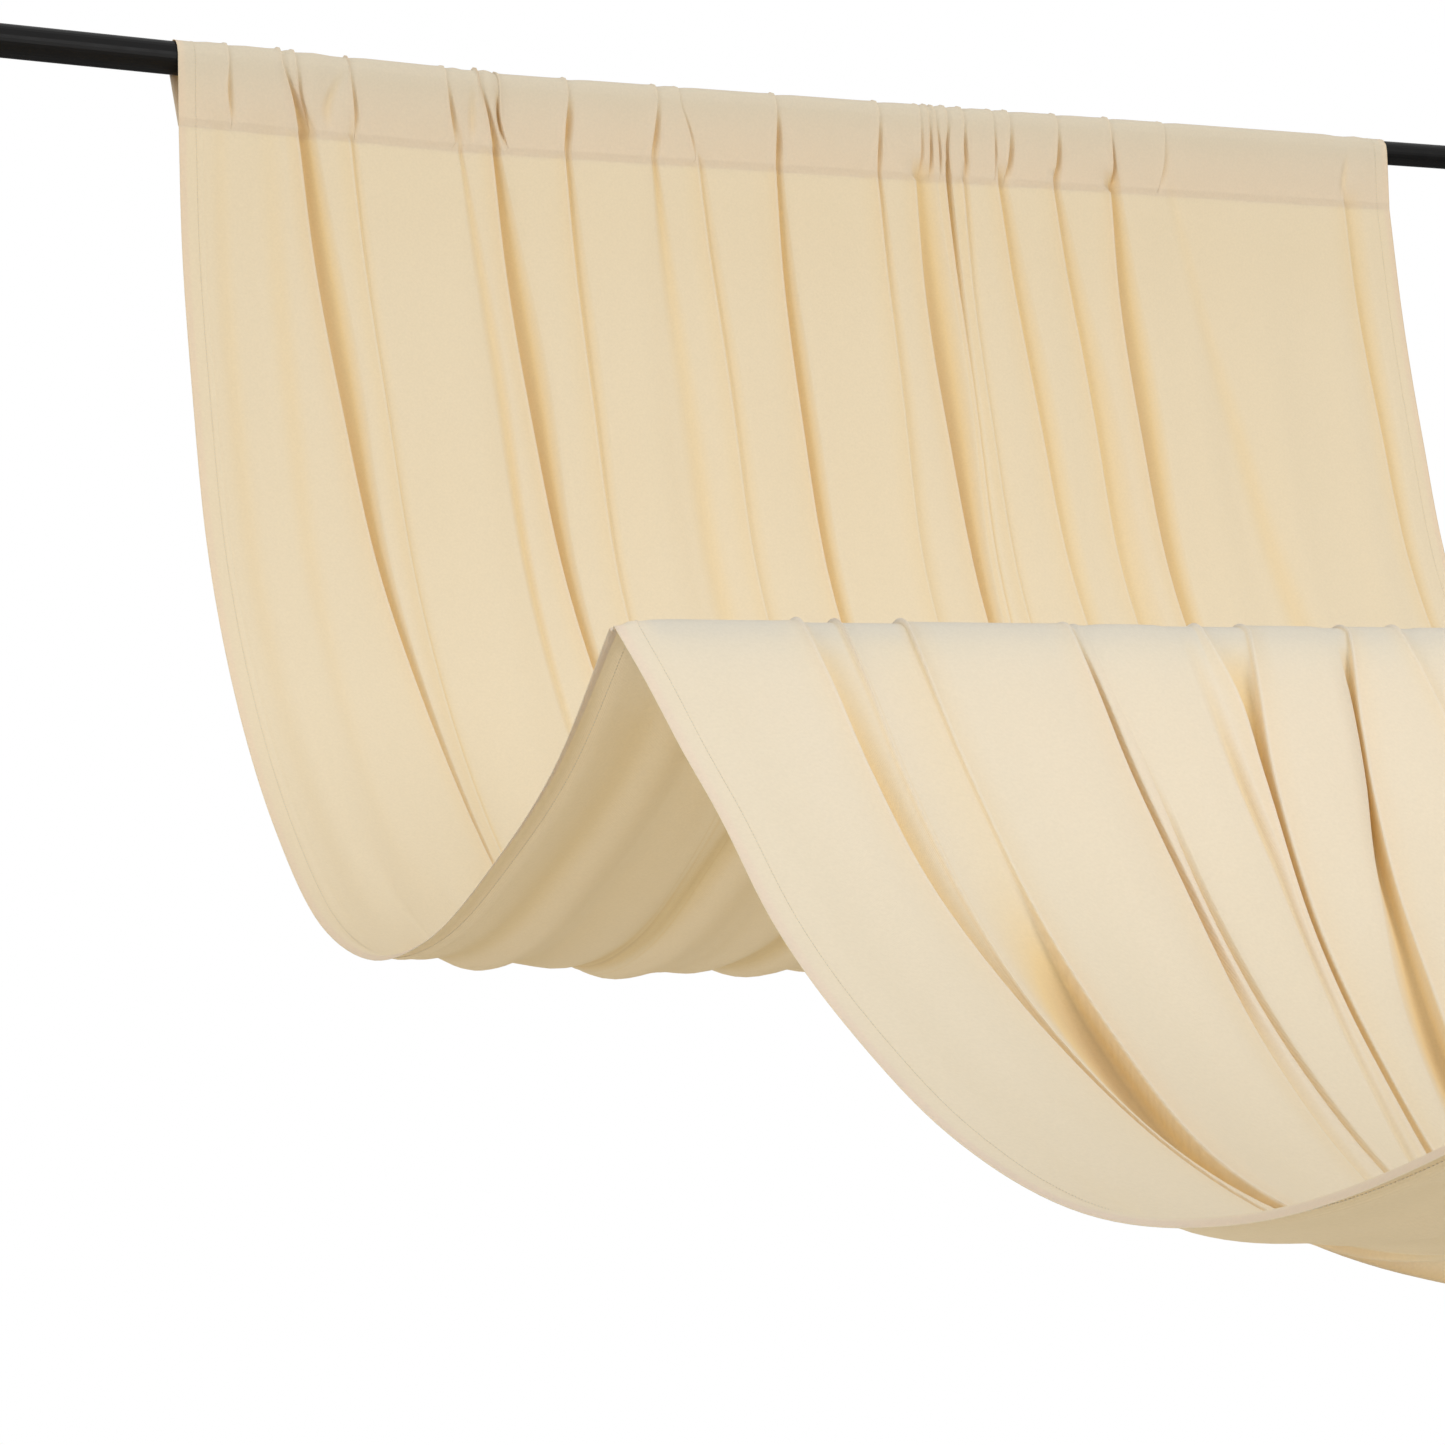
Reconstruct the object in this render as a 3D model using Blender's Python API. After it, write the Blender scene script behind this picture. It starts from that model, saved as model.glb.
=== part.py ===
"""Draped event curtain on its poles: one cloth panel hung from a high back pole, laid over a lower
middle pole and carried up to a front pole, with a swag in each bay.

Metres. X runs along the poles to the right, Y to the back, Z up. The origin is the centre of the back
pole's left end. "Across" is the distance from the cloth's left edge, "forward" the distance from the
back pole to the front and "drop" the distance below the lowest point of its axis. A "share" is the part
of a bay's cloth already passed on the way from the back pole to the front.
"""

import math
from collections import namedtuple

import bmesh
import bpy
import numpy as np
from mathutils import Vector

# Poles
THICK_RADIUS = 0.016
THIN_RADIUS = 0.01325
POLE_PAST_CLOTH = 0.20
THICK_END_ON_CLOTH = 0.318
TELESCOPE_OVERLAP = 0.060
THICK_SLOPE = 0.019
THIN_SLOPE = 0.0105
POLE_SIDES = 32
MIDDLE_POLE_SET_BACK = 0.019
MIDDLE_POLE = (1.095, 0.575)
FRONT_POLE = (2.305, 0.575)

# Cloth
CLOTH_WIDTH = 1.397
CLOTH_THICKNESS = 0.0015
HEM_WIDTH = 0.018
HEM_THICKNESS = 0.0025
SEAT_GAP = 0.0004
SEAM_BELOW_AXIS = 0.068
SEAM_FORWARD = 0.020
PULL_ANGLE = math.radians(43)
TUNNEL_ABOVE_SEAM = 0.004
CORNER_DROOP = 0.007

# How far the right edge swings out from the straight line: share of the back bay, distance
RIGHT_EDGE_DRIFT = ((0.0, 0.0), (0.07, 0.009), (0.16, 0.011), (0.32, 0.007), (0.6, 0.004), (1.0, 0.0))

# Where the cloth leaves the middle pole, as angles from straight up
RISE_ANGLE = math.radians(-42)
FALL_ANGLE = math.radians(38)

# The left edge of the cloth between the poles: forward, drop
BACK_EDGE = (
    (0.031, 0.182),
    (0.066, 0.322),
    (0.120, 0.477),
    (0.208, 0.609),
    (0.330, 0.724),
    (0.460, 0.799),
    (0.580, 0.818),
    (0.720, 0.794),
    (0.860, 0.731),
    (0.985, 0.655),
)
FRONT_EDGE = (
    (1.209, 0.647),
    (1.303, 0.720),
    (1.420, 0.788),
    (1.550, 0.840),
    (1.688, 0.862),
    (1.830, 0.847),
    (1.978, 0.797),
    (2.118, 0.722),
)

# One row for each fold of a bay, at four shares of it: where its left edge lies across the cloth, how
# wide it is and how deep. "lean" is the share of the width that its left wall takes.
FOLD_SHARES = (0.0, 0.1, 0.25, 0.42, 1.0)
Fold = namedtuple("Fold", "x0 x10 x25 x42 wide0 wide10 wide25 wide42 deep0 deep10 deep25 deep42 lean")
BACK_FOLDS = (
    Fold(0.118, 0.134, 0.162, 0.188, 0.019, 0.030, 0.015, 0.006, 0.010, 0.018, 0.016, 0.010, 0.12),
    Fold(0.281, 0.295, 0.310, 0.315, 0.007, 0.021, 0.016, 0.014, 0.003, 0.004, 0.005, 0.004, 0.35),
    Fold(0.318, 0.332, 0.354, 0.370, 0.010, 0.028, 0.016, 0.008, 0.011, 0.017, 0.015, 0.010, 0.12),
    Fold(0.396, 0.406, 0.412, 0.416, 0.008, 0.015, 0.012, 0.012, 0.006, 0.005, 0.003, 0.002, 0.30),
    Fold(0.489, 0.495, 0.505, 0.508, 0.010, 0.022, 0.030, 0.030, 0.006, 0.005, 0.006, 0.004, 0.30),
    Fold(0.543, 0.558, 0.562, 0.563, 0.008, 0.014, 0.018, 0.018, 0.003, 0.004, 0.003, 0.002, 0.20),
    Fold(0.630, 0.636, 0.641, 0.645, 0.009, 0.017, 0.018, 0.012, 0.008, 0.011, 0.011, 0.007, 0.15),
    Fold(0.748, 0.757, 0.752, 0.748, 0.006, 0.014, 0.020, 0.020, 0.005, 0.004, 0.003, 0.002, 0.30),
    Fold(0.800, 0.803, 0.809, 0.806, 0.030, 0.038, 0.020, 0.010, 0.010, 0.015, 0.013, 0.008, 0.40),
    Fold(0.960, 0.985, 0.995, 0.998, 0.010, 0.022, 0.028, 0.026, 0.006, 0.006, 0.004, 0.003, 0.40),
    Fold(1.031, 1.038, 1.046, 1.055, 0.013, 0.029, 0.013, 0.008, 0.010, 0.014, 0.012, 0.008, 0.15),
    Fold(1.110, 1.140, 1.176, 1.185, 0.010, 0.018, 0.024, 0.024, 0.003, 0.003, 0.004, 0.004, 0.50),
    Fold(1.336, 1.349, 1.355, 1.350, 0.026, 0.026, 0.018, 0.012, 0.004, 0.007, 0.006, 0.004, 0.30),
)
FRONT_FOLDS = (
    Fold(0.131, 0.126, 0.129, 0.138, 0.028, 0.024, 0.008, 0.005, 0.008, 0.014, 0.012, 0.006, 0.12),
    Fold(0.163, 0.154, 0.141, 0.150, 0.046, 0.044, 0.047, 0.016, 0.006, 0.014, 0.020, 0.009, 0.88),
    Fold(0.333, 0.324, 0.308, 0.284, 0.007, 0.010, 0.010, 0.006, 0.008, 0.020, 0.018, 0.009, 0.30),
    Fold(0.348, 0.341, 0.323, 0.312, 0.006, 0.006, 0.006, 0.006, 0.002, 0.006, 0.014, 0.008, 0.50),
    Fold(0.420, 0.404, 0.378, 0.335, 0.020, 0.016, 0.008, 0.008, 0.003, 0.007, 0.006, 0.005, 0.40),
    Fold(0.446, 0.431, 0.390, 0.350, 0.036, 0.010, 0.006, 0.006, 0.010, 0.018, 0.010, 0.008, 0.50),
    Fold(0.556, 0.514, 0.434, 0.396, 0.011, 0.006, 0.021, 0.016, 0.010, 0.014, 0.016, 0.010, 0.80),
    Fold(0.690, 0.650, 0.600, 0.570, 0.020, 0.024, 0.024, 0.020, 0.006, 0.012, 0.012, 0.010, 0.15),
    Fold(0.800, 0.780, 0.750, 0.740, 0.024, 0.028, 0.024, 0.020, 0.005, 0.010, 0.010, 0.008, 0.80),
    Fold(0.930, 0.915, 0.900, 0.890, 0.022, 0.030, 0.026, 0.020, 0.006, 0.014, 0.013, 0.010, 0.15),
    Fold(1.060, 1.050, 1.040, 1.040, 0.020, 0.028, 0.026, 0.020, 0.006, 0.011, 0.011, 0.008, 0.70),
    Fold(1.190, 1.185, 1.180, 1.180, 0.016, 0.020, 0.022, 0.018, 0.004, 0.009, 0.009, 0.007, 0.20),
    Fold(1.300, 1.300, 1.295, 1.290, 0.016, 0.022, 0.022, 0.018, 0.004, 0.008, 0.008, 0.006, 0.40),
)
FAR_POLE_DEPTH = 0.004
LEAST_PANEL = 0.004
LEAST_FOLD = 0.004
CROWN_PER_WIDTH = 0.045
CROWN_MOST = 0.006
PUCKER_PER_DEPTH = 0.28
DEPTH_PER_REACH = 0.35

# How far the middle of a bay hangs below its edges, and how wide the edge strip is that rises to them
Bay = namedtuple("Bay", "edge folds sag reach")
BACK = Bay(BACK_EDGE, BACK_FOLDS, 0.022, 0.28)
FRONT = Bay(FRONT_EDGE, FRONT_FOLDS, 0.085, 0.42)
SAG_POWER = 1.5

# Rows of the mesh, as shares of a bay and as steps round a pole, and how it is built between them
BACK_ROWS = (0.0, 0.05, 0.14, 0.23, 0.32, 0.40, 0.465, 0.53, 0.595, 0.67, 0.77, 0.88, 0.985, 1.0)
FRONT_ROWS = (0.0, 0.015, 0.05, 0.12, 0.20, 0.29, 0.37, 0.45, 0.53, 0.61, 0.70, 0.80, 0.90, 1.0)
CREST_STEPS = 4
POCKET_ARC_STEPS = 6
POCKET_LEG_SHARES = (0.35, 0.7)
ARC_CLEARANCE = 1 / math.cos(math.pi / POCKET_ARC_STEPS / 2)
STEP_ROOM = 0.012
CURVE_STEP = 0.004
MITRE_MOST = 1.6

THICK_TUNNEL = (THICK_RADIUS + SEAT_GAP) * ARC_CLEARANCE
THIN_TUNNEL = (THIN_RADIUS + SEAT_GAP) * ARC_CLEARANCE
CREST_RADIUS = THICK_RADIUS + SEAT_GAP * 2 + CLOTH_THICKNESS
JOINT_ON_CLOTH = THICK_END_ON_CLOTH - TELESCOPE_OVERLAP / 2
JOINT_BELOW_END = (POLE_PAST_CLOTH + JOINT_ON_CLOTH) * THICK_SLOPE
POLE_LENGTH = POLE_PAST_CLOTH * 2 + CLOTH_WIDTH


def smooth_curve(knots, values, places):
    """Values at these places on a smooth curve through the knots."""
    knots, values, places = (np.asarray(a, float) for a in (knots, values, places))
    slopes = np.gradient(values, knots, axis=0)
    spans = np.clip(np.searchsorted(knots, places, side="right") - 1, 0, len(knots) - 2)
    width = knots[spans + 1] - knots[spans]
    q = (places - knots[spans]) / width
    if values.ndim > 1:
        q, width = q[..., None], width[..., None]
    start, end = values[spans], values[spans + 1]
    lean_start, lean_end = slopes[spans] * width, slopes[spans + 1] * width
    return (
        start * (1 + 2 * q) * (1 - q) ** 2
        + lean_start * q * (1 - q) ** 2
        + end * q**2 * (3 - 2 * q)
        + lean_end * q**2 * (q - 1)
    )


def on_circle(centre, radius, angle):
    """Forward and drop of points round a pole, the angle measured from straight up to the front."""
    return centre[0] + radius * math.sin(angle), centre[1] - radius * math.cos(angle)


def front_seam():
    """Forward and drop of the seam of the front pocket, which the cloth pulls back and down."""
    return (
        FRONT_POLE[0] - SEAM_BELOW_AXIS * math.cos(PULL_ANGLE),
        FRONT_POLE[1] + SEAM_BELOW_AXIS * math.sin(PULL_ANGLE),
    )


def bay_outline(bay):
    """The bay's left edge from end to end, and the share of its length passed at each point."""
    if bay is BACK:
        start = (SEAM_FORWARD, SEAM_BELOW_AXIS)
        end = on_circle(MIDDLE_POLE, CREST_RADIUS, RISE_ANGLE)
    else:
        start = on_circle(MIDDLE_POLE, CREST_RADIUS, FALL_ANGLE)
        end = front_seam()
    points = np.array((start, *bay.edge, end))
    passed = np.concatenate([[0], np.cumsum(np.linalg.norm(np.diff(points, axis=0), axis=1))])
    return points, passed / passed[-1], passed[-1]


def edge_rise(across, reach):
    """0 at the cloth's edges, 1 past the strips that rise to them."""
    q = np.clip(np.minimum(across, CLOTH_WIDTH - across) / reach, 0, 1)
    return q * q * (3 - 2 * q)


def pole_lift(across, thick_until):
    """How far the back pole's axis is above its lowest point: its two lengths meet at a slight angle."""
    thick = (JOINT_ON_CLOTH - across) * THICK_SLOPE
    thin = (across - JOINT_ON_CLOTH) * THIN_SLOPE
    return np.where(across < thick_until, thick, thin)


def to_frame(across, forward, drop, lift=0.0):
    """Points of the row frame from places on the cloth."""
    across, forward, drop, lift = np.broadcast_arrays(across, forward, drop, lift)
    return np.column_stack([POLE_PAST_CLOTH + across, -forward, lift - drop - JOINT_BELOW_END])


def fold_stations(bay, share):
    """Places across the cloth and heights over it, for a row: three stations at each fold, one at the
    middle of each panel between folds, and the hems."""
    folds = np.array(bay.folds)
    at_front_pole = np.array(FRONT_FOLDS)
    places = np.column_stack([folds[:, 0:4], at_front_pole[:, 0]])
    widths = np.column_stack([folds[:, 4:8], at_front_pole[:, 4]])
    depths = np.column_stack([folds[:, 8:12], np.full(len(folds), FAR_POLE_DEPTH)])
    place, wide, deep = (smooth_curve(FOLD_SHARES, t.T, [share])[0] for t in (places, widths, depths))
    far_edge = CLOTH_WIDTH
    if bay is BACK:
        shares, drifts = zip(*RIGHT_EDGE_DRIFT)
        far_edge += smooth_curve(shares, drifts, [share])[0]
    next_place = np.append(place[1:], far_edge - HEM_WIDTH)
    wide = np.clip(wide, LEAST_FOLD, next_place - place - LEAST_PANEL)
    deep = np.clip(deep, 0, depth_near_pole(bay, share))
    crown_fade = math.sqrt(max(math.sin(math.pi * share), 0))
    across, height = [0.0, HEM_WIDTH], [0.0, 0.0]
    for start, width, depth, lean in zip(place, wide, deep, folds[:, 12]):
        add_panel_middle(across, height, start, crown_fade)
        across += [start, start + lean * width, start + width]
        height += [0.0, -depth, 0.0]
    add_panel_middle(across, height, far_edge - HEM_WIDTH, crown_fade)
    across += [far_edge - HEM_WIDTH, far_edge]
    height += [0.0, 0.0]
    return np.array(across), np.array(height)


def add_panel_middle(across, height, end, fade):
    """The panel from the last station to this one bulges a little at its middle."""
    width = end - across[-1]
    across.append(across[-1] + width / 2)
    height.append(fade * min(CROWN_MOST, CROWN_PER_WIDTH * width))


def depth_near_pole(bay, share):
    """How deep a fold can be before its bottom would meet the middle pole."""
    length = bay_outline(bay)[2]
    from_pole = (1 - share) * length if bay is BACK else share * length
    return DEPTH_PER_REACH * (math.hypot(CREST_RADIUS, from_pole) - CREST_RADIUS)


def pucker_heights(folds):
    """Small ridges beside each fold where the cloth is gathered on a pole."""
    height = [0.0, 0.0]
    for fold in folds:
        ridge = PUCKER_PER_DEPTH * fold.deep0
        height += [0.0, ridge, 0.0, ridge / 2]
    return np.array(height + [0.0, 0.0, 0.0])


def thickness_across(across, share):
    """The hems are thicker than the cloth, but not where they lie on a pole."""
    in_hem = (across < HEM_WIDTH) | (across > CLOTH_WIDTH - HEM_WIDTH)
    hem = CLOTH_THICKNESS if share in (0.0, 1.0) else HEM_THICKNESS
    return np.where(in_hem, hem, CLOTH_THICKNESS)


def underside(across, height, thickness):
    """The section's lower side, parallel to its upper side."""
    step = np.column_stack([np.diff(across), np.diff(height)])
    step /= np.linalg.norm(step, axis=1)[:, None]
    down = np.column_stack([step[:, 1], -step[:, 0]])
    both = np.vstack([down[:1], down]) + np.vstack([down, down[-1:]])
    stretch = np.minimum(2 / (both**2).sum(axis=1), MITRE_MOST)
    shift = both * (stretch * thickness)[:, None]
    return across + shift[:, 0], height + shift[:, 1]


def bay_points(bay, share, across, height):
    """Points of a bay at these places across it and these heights over its smooth surface."""
    points, shares, _ = bay_outline(bay)
    near = np.clip([share - CURVE_STEP, share, share + CURVE_STEP], 0, 1)
    before, here, after = smooth_curve(shares, points, near)
    run = after - before
    normal = np.array([run[1], -run[0]]) / np.linalg.norm(run)
    sag = bay.sag * max(math.sin(math.pi * share), 0) ** SAG_POWER
    drop = here[1] + sag * edge_rise(across, bay.reach) + height * normal[1]
    lift = (1 - share) * pole_lift(across, JOINT_ON_CLOTH) if bay is BACK else 0.0
    return to_frame(across, here[0] + height * normal[0], drop, lift)


def bay_row(bay, share):
    """Upper and lower points of one row of a bay."""
    across, height = fold_stations(bay, share)
    low_across, low_height = underside(across, height, thickness_across(across, share))
    return bay_points(bay, share, across, height), bay_points(bay, share, low_across, low_height)


def crest_rows():
    """Upper and lower points of the rows over the middle pole, between the two bays."""
    across, _ = fold_stations(FRONT, 0.0)
    pucker = pucker_heights(FRONT_FOLDS)
    droop = CORNER_DROOP * np.clip(1 - across / HEM_WIDTH, 0, 1) ** 2
    upper, lower = [], []
    for step in range(1, CREST_STEPS):
        angle = RISE_ANGLE + (FALL_ANGLE - RISE_ANGLE) * step / CREST_STEPS
        bulge = math.sin(math.pi * step / CREST_STEPS)
        for rows, radius in ((upper, CREST_RADIUS), (lower, CREST_RADIUS - CLOTH_THICKNESS)):
            forward, drop = on_circle(MIDDLE_POLE, radius + pucker, angle)
            rows.append(to_frame(across, forward, drop + droop * bulge))
    return upper, lower


def tangent_angle(centre, radius, point, side):
    """Angle, from straight up to the front, at which a line from the point touches a circle."""
    away = (point[0] - centre[0], point[1] - centre[1])
    toward = math.atan2(away[0], -away[1])
    return toward - side * math.acos(radius / math.hypot(*away))


def pocket_angles(centre, seam, turn):
    """Angles of the pocket's arc, from where the cloth meets the pole to where it leaves it."""
    start = tangent_angle(centre, THICK_TUNNEL, seam, -turn)
    end = tangent_angle(centre, THICK_TUNNEL, seam, turn)
    if (end - start) * turn < 0:
        end += turn * 2 * math.pi
    return [start + (end - start) * step / POCKET_ARC_STEPS for step in range(POCKET_ARC_STEPS + 1)]


def between(first, second, share):
    return first + (second - first) * share


def pocket_rows(bay, top_seam, low_seam):
    """Rows of a pocket's outside between its two seam rows, and of its tunnel, in the same order."""
    if bay is BACK:
        share, centre, seam, turn = 0.0, (0.0, 0.0), (SEAM_FORWARD, SEAM_BELOW_AXIS), -1
        outward = (1.0, 0.0)
    else:
        share, centre, seam, turn = 1.0, FRONT_POLE, front_seam(), 1
        outward = (-math.sin(PULL_ANGLE), -math.cos(PULL_ANGLE))
    across, height = fold_stations(bay, share)
    pucker = pucker_heights(bay.folds)
    radius, lift, seam_lift = np.full(len(across), THICK_TUNNEL), 0.0, 0.0
    if bay is BACK:
        thick_ends = THICK_END_ON_CLOTH + STEP_ROOM
        radius = np.where(across < thick_ends, THICK_TUNNEL, THIN_TUNNEL)
        lift, seam_lift = pole_lift(across, thick_ends), pole_lift(across, JOINT_ON_CLOTH)
    middle = np.array(seam) - np.array(outward) * CLOTH_THICKNESS
    to_pole = np.array(centre) - middle
    apex = middle + to_pole / np.linalg.norm(to_pole) * TUNNEL_ABOVE_SEAM
    apex_row = to_frame(across, apex[0] + height * outward[0], apex[1] + height * outward[1], seam_lift)
    angles = pocket_angles(centre, middle, turn)
    outside, tunnel = [], [apex_row]
    sides = ((outside, CLOTH_THICKNESS, top_seam, low_seam), (tunnel, 0.0, apex_row, apex_row))
    for rows, thickness, seam_first, seam_last in sides:
        ends = [to_frame(across, *on_circle(centre, radius + thickness, a), lift) for a in angles]
        rows.append(between(seam_first, ends[0], 0.5))
        for angle in angles:
            rows.append(to_frame(across, *on_circle(centre, radius + thickness + pucker, angle), lift))
        rows.extend(between(ends[-1], seam_last, passed) for passed in POCKET_LEG_SHARES)
    return outside, tunnel


def cloth_mesh():
    """The panel's points and triangles: one outer skin, and the tunnel of each pocket."""
    upper, lower = [], []
    for share in BACK_ROWS:
        top, low = bay_row(BACK, share)
        upper.append(top)
        lower.append(low)
    over, under = crest_rows()
    upper += over
    lower += under
    for share in FRONT_ROWS:
        top, low = bay_row(FRONT, share)
        upper.append(top)
        lower.append(low)
    back_out, back_tunnel = pocket_rows(BACK, upper[0], lower[0])
    front_out, front_tunnel = pocket_rows(FRONT, upper[-1], lower[-1])
    outer = upper + front_out + lower[::-1] + back_out[::-1]
    loops = (outer, back_tunnel, front_tunnel)
    points = np.concatenate([np.stack(loop) for loop in loops])
    columns = len(outer[0])
    starts = (0, len(outer), len(outer) + len(back_tunnel))
    corners = []
    for loop, start in zip(loops, starts):
        rows = len(loop)
        for i in range(rows):
            for j in range(columns - 1):
                a, b = (start + i, j), (start + (i + 1) % rows, j)
                c, d = (b[0], j + 1), (a[0], j + 1)
                corners += [(a, b, c), (a, c, d)]
    for column in (0, columns - 1):
        corners += end_cap(column, len(upper), len(front_out), starts)
    faces = [tuple(row * columns + column for row, column in face) for face in corners]
    return points.reshape(-1, 3), faces


def end_cap(column, bay_rows, pocket_count, starts):
    """The cut edge of the cloth at one side: the bays' strip, then each pocket's two layers."""
    outer_count = starts[1]
    last_low = bay_rows * 2 + pocket_count - 1
    first_low = last_low - bay_rows + 1
    quads = [(i, i + 1, last_low - i - 1, last_low - i) for i in range(bay_rows - 1)]
    front_outside = [bay_rows - 1, *range(bay_rows, bay_rows + pocket_count), first_low]
    back_outside = [0, *range(outer_count - 1, outer_count - 1 - pocket_count, -1), last_low]
    faces = []
    for outside, start in ((back_outside, starts[1]), (front_outside, starts[2])):
        tunnel = [start + k for k in range(pocket_count + 1)] + [start]
        for k in range(len(outside) - 1):
            quads.append((outside[k], outside[k + 1], tunnel[k + 1], tunnel[k]))
        faces.append(((outside[0], column), (outside[-1], column), (start, column)))
    for a, b, c, d in quads:
        faces.append(((a, column), (b, column), (c, column)))
        faces.append(((a, column), (c, column), (d, column)))
    return faces


def clear_scene():
    for obj in list(bpy.data.objects):
        bpy.data.objects.remove(obj, do_unlink=True)


def make_material(name, colour, roughness):
    material = bpy.data.materials.new(name)
    material.use_nodes = True
    shader = material.node_tree.nodes["Principled BSDF"]
    shader.inputs["Base Color"].default_value = (*colour, 1)
    shader.inputs["Roughness"].default_value = roughness
    return material


def add_object(name, builder, material, sharp_angle):
    """A named object from a finished mesh, its normals outward."""
    bmesh.ops.recalc_face_normals(builder, faces=builder.faces)
    mesh = bpy.data.meshes.new(name)
    builder.to_mesh(mesh)
    builder.free()
    mesh.shade_smooth()
    mesh.set_sharp_from_angle(angle=sharp_angle)
    mesh.materials.append(material)
    obj = bpy.data.objects.new(name, mesh)
    bpy.context.scene.collection.objects.link(obj)
    return obj


def cloth_panel(material):
    points, faces = cloth_mesh()
    builder = bmesh.new()
    corners = [builder.verts.new(point) for point in points]
    for face in faces:
        builder.faces.new([corners[k] for k in face])
    return add_object("curtain_panel", builder, material, math.radians(50))


def rod(name, radius, start, end, material):
    """A plain round rod between two points of its axis."""
    start, end = Vector(start), Vector(end)
    builder = bmesh.new()
    bmesh.ops.create_cone(
        builder,
        cap_ends=True,
        segments=POLE_SIDES,
        radius1=radius,
        radius2=radius,
        depth=(end - start).length,
    )
    obj = add_object(name, builder, material, math.radians(40))
    obj.rotation_euler = (end - start).to_track_quat("Z", "Y").to_euler()
    obj.location = (start + end) / 2
    return obj


def back_pole(material):
    """Two lengths: the thin one slides into the thick one and rises from there."""
    joint = POLE_PAST_CLOTH + JOINT_ON_CLOTH
    thick_end = POLE_PAST_CLOTH + THICK_END_ON_CLOTH
    buried_end = thick_end - TELESCOPE_OVERLAP

    def on_thin_axis(place):
        return (place, 0, (place - joint) * THIN_SLOPE - JOINT_BELOW_END)

    thick = rod(
        "back_pole_thick_length", THICK_RADIUS, (0, 0, 0), (thick_end, 0, -thick_end * THICK_SLOPE), material
    )
    bore = rod(
        "back_pole_bore",
        THIN_RADIUS + SEAT_GAP,
        on_thin_axis(buried_end - SEAT_GAP),
        on_thin_axis(thick_end + TELESCOPE_OVERLAP),
        material,
    )
    bore.hide_render = True
    bore.display_type = "WIRE"
    cut = thick.modifiers.new("telescope bore", "BOOLEAN")
    cut.operation = "DIFFERENCE"
    cut.solver = "EXACT"
    cut.object = bore
    rod(
        "back_pole_thin_length", THIN_RADIUS, on_thin_axis(buried_end), on_thin_axis(POLE_LENGTH), material
    )


def lower_pole(name, left_end, place, material):
    forward, drop = place
    depth = -drop - JOINT_BELOW_END
    rod(name, THICK_RADIUS, (left_end, -forward, depth), (POLE_LENGTH, -forward, depth), material)


def main():
    clear_scene()
    cream_cloth = make_material("cream_stretch_cloth", (0.80, 0.69, 0.50), 0.75)
    black_paint = make_material("black_pole_paint", (0.010, 0.010, 0.009), 0.45)
    cloth_panel(cream_cloth)
    back_pole(black_paint)
    lower_pole("middle_pole", POLE_PAST_CLOTH + MIDDLE_POLE_SET_BACK, MIDDLE_POLE, black_paint)
    lower_pole("front_pole", 0.0, FRONT_POLE, black_paint)


main()
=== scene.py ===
"""The looks of the draped event curtain: one stretch panel hung from a high back pole by a sewn pocket,
laid over a lower middle pole and carried up to a front pole, with a deep swag in each bay.

Metres. X runs along the poles to the right, Y to the back, Z up. The origin is the centre of the back
pole's left end. "Across" is the distance from the cloth's left edge, "forward" the distance from the
back pole to the front and "drop" the distance below the lowest point of its axis. A "share" is the part
of a bay's cloth already passed on the way from the back pole to the front.
"""

import math
from collections import namedtuple

import bmesh
import bpy
import numpy as np
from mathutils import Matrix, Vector


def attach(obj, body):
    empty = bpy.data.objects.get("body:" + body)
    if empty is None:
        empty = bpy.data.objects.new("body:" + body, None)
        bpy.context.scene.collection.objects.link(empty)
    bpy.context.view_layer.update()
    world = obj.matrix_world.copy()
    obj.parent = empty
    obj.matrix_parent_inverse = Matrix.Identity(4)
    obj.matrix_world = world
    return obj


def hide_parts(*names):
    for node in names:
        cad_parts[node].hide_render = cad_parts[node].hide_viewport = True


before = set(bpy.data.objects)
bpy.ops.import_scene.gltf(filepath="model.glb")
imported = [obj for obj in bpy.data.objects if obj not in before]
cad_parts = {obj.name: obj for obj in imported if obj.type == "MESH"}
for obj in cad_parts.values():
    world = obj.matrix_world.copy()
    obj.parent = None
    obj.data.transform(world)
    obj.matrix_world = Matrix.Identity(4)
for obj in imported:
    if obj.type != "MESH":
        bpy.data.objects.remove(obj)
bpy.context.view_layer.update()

# Poles
POLES = ("back_pole_thick_length", "back_pole_thin_length", "middle_pole", "front_pole")
THICK_RADIUS = 0.016
THIN_RADIUS = 0.01325
POLE_PAST_CLOTH = 0.20
THICK_END_ON_CLOTH = 0.318
TELESCOPE_OVERLAP = 0.060
THICK_SLOPE = 0.019
THIN_SLOPE = 0.0105
MIDDLE_POLE = (1.095, 0.575)
FRONT_POLE = (2.305, 0.575)

# Cloth
CLOTH_WIDTH = 1.397
CLOTH_THICKNESS = 0.0015
HEM_WIDTH = 0.020
SEAT_GAP = 0.0004
SEAM_BELOW_AXIS = 0.068
SEAM_FORWARD = 0.020
PULL_ANGLE = math.radians(43)
CORNER_DROOP = 0.007

# How far the right edge swings out from the straight line: share of the back bay, distance
RIGHT_EDGE_DRIFT = ((0, 0), (.07, .009), (.16, .011), (.32, .007), (.6, .004), (1, 0))

# Where the cloth leaves the middle pole, as angles from straight up
RISE_ANGLE = math.radians(-42)
FALL_ANGLE = math.radians(38)

# The left edge of the cloth between the poles: forward, drop
BACK_EDGE = (
    (.031, .182), (.066, .322), (.12, .477), (.208, .609), (.33, .724),
    (.46, .799), (.58, .818), (.72, .794), (.86, .731), (.985, .655),
)
FRONT_EDGE = (
    (1.209, .647), (1.303, .72), (1.42, .788), (1.55, .84),
    (1.688, .862), (1.83, .847), (1.978, .797), (2.118, .722),
)

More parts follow.
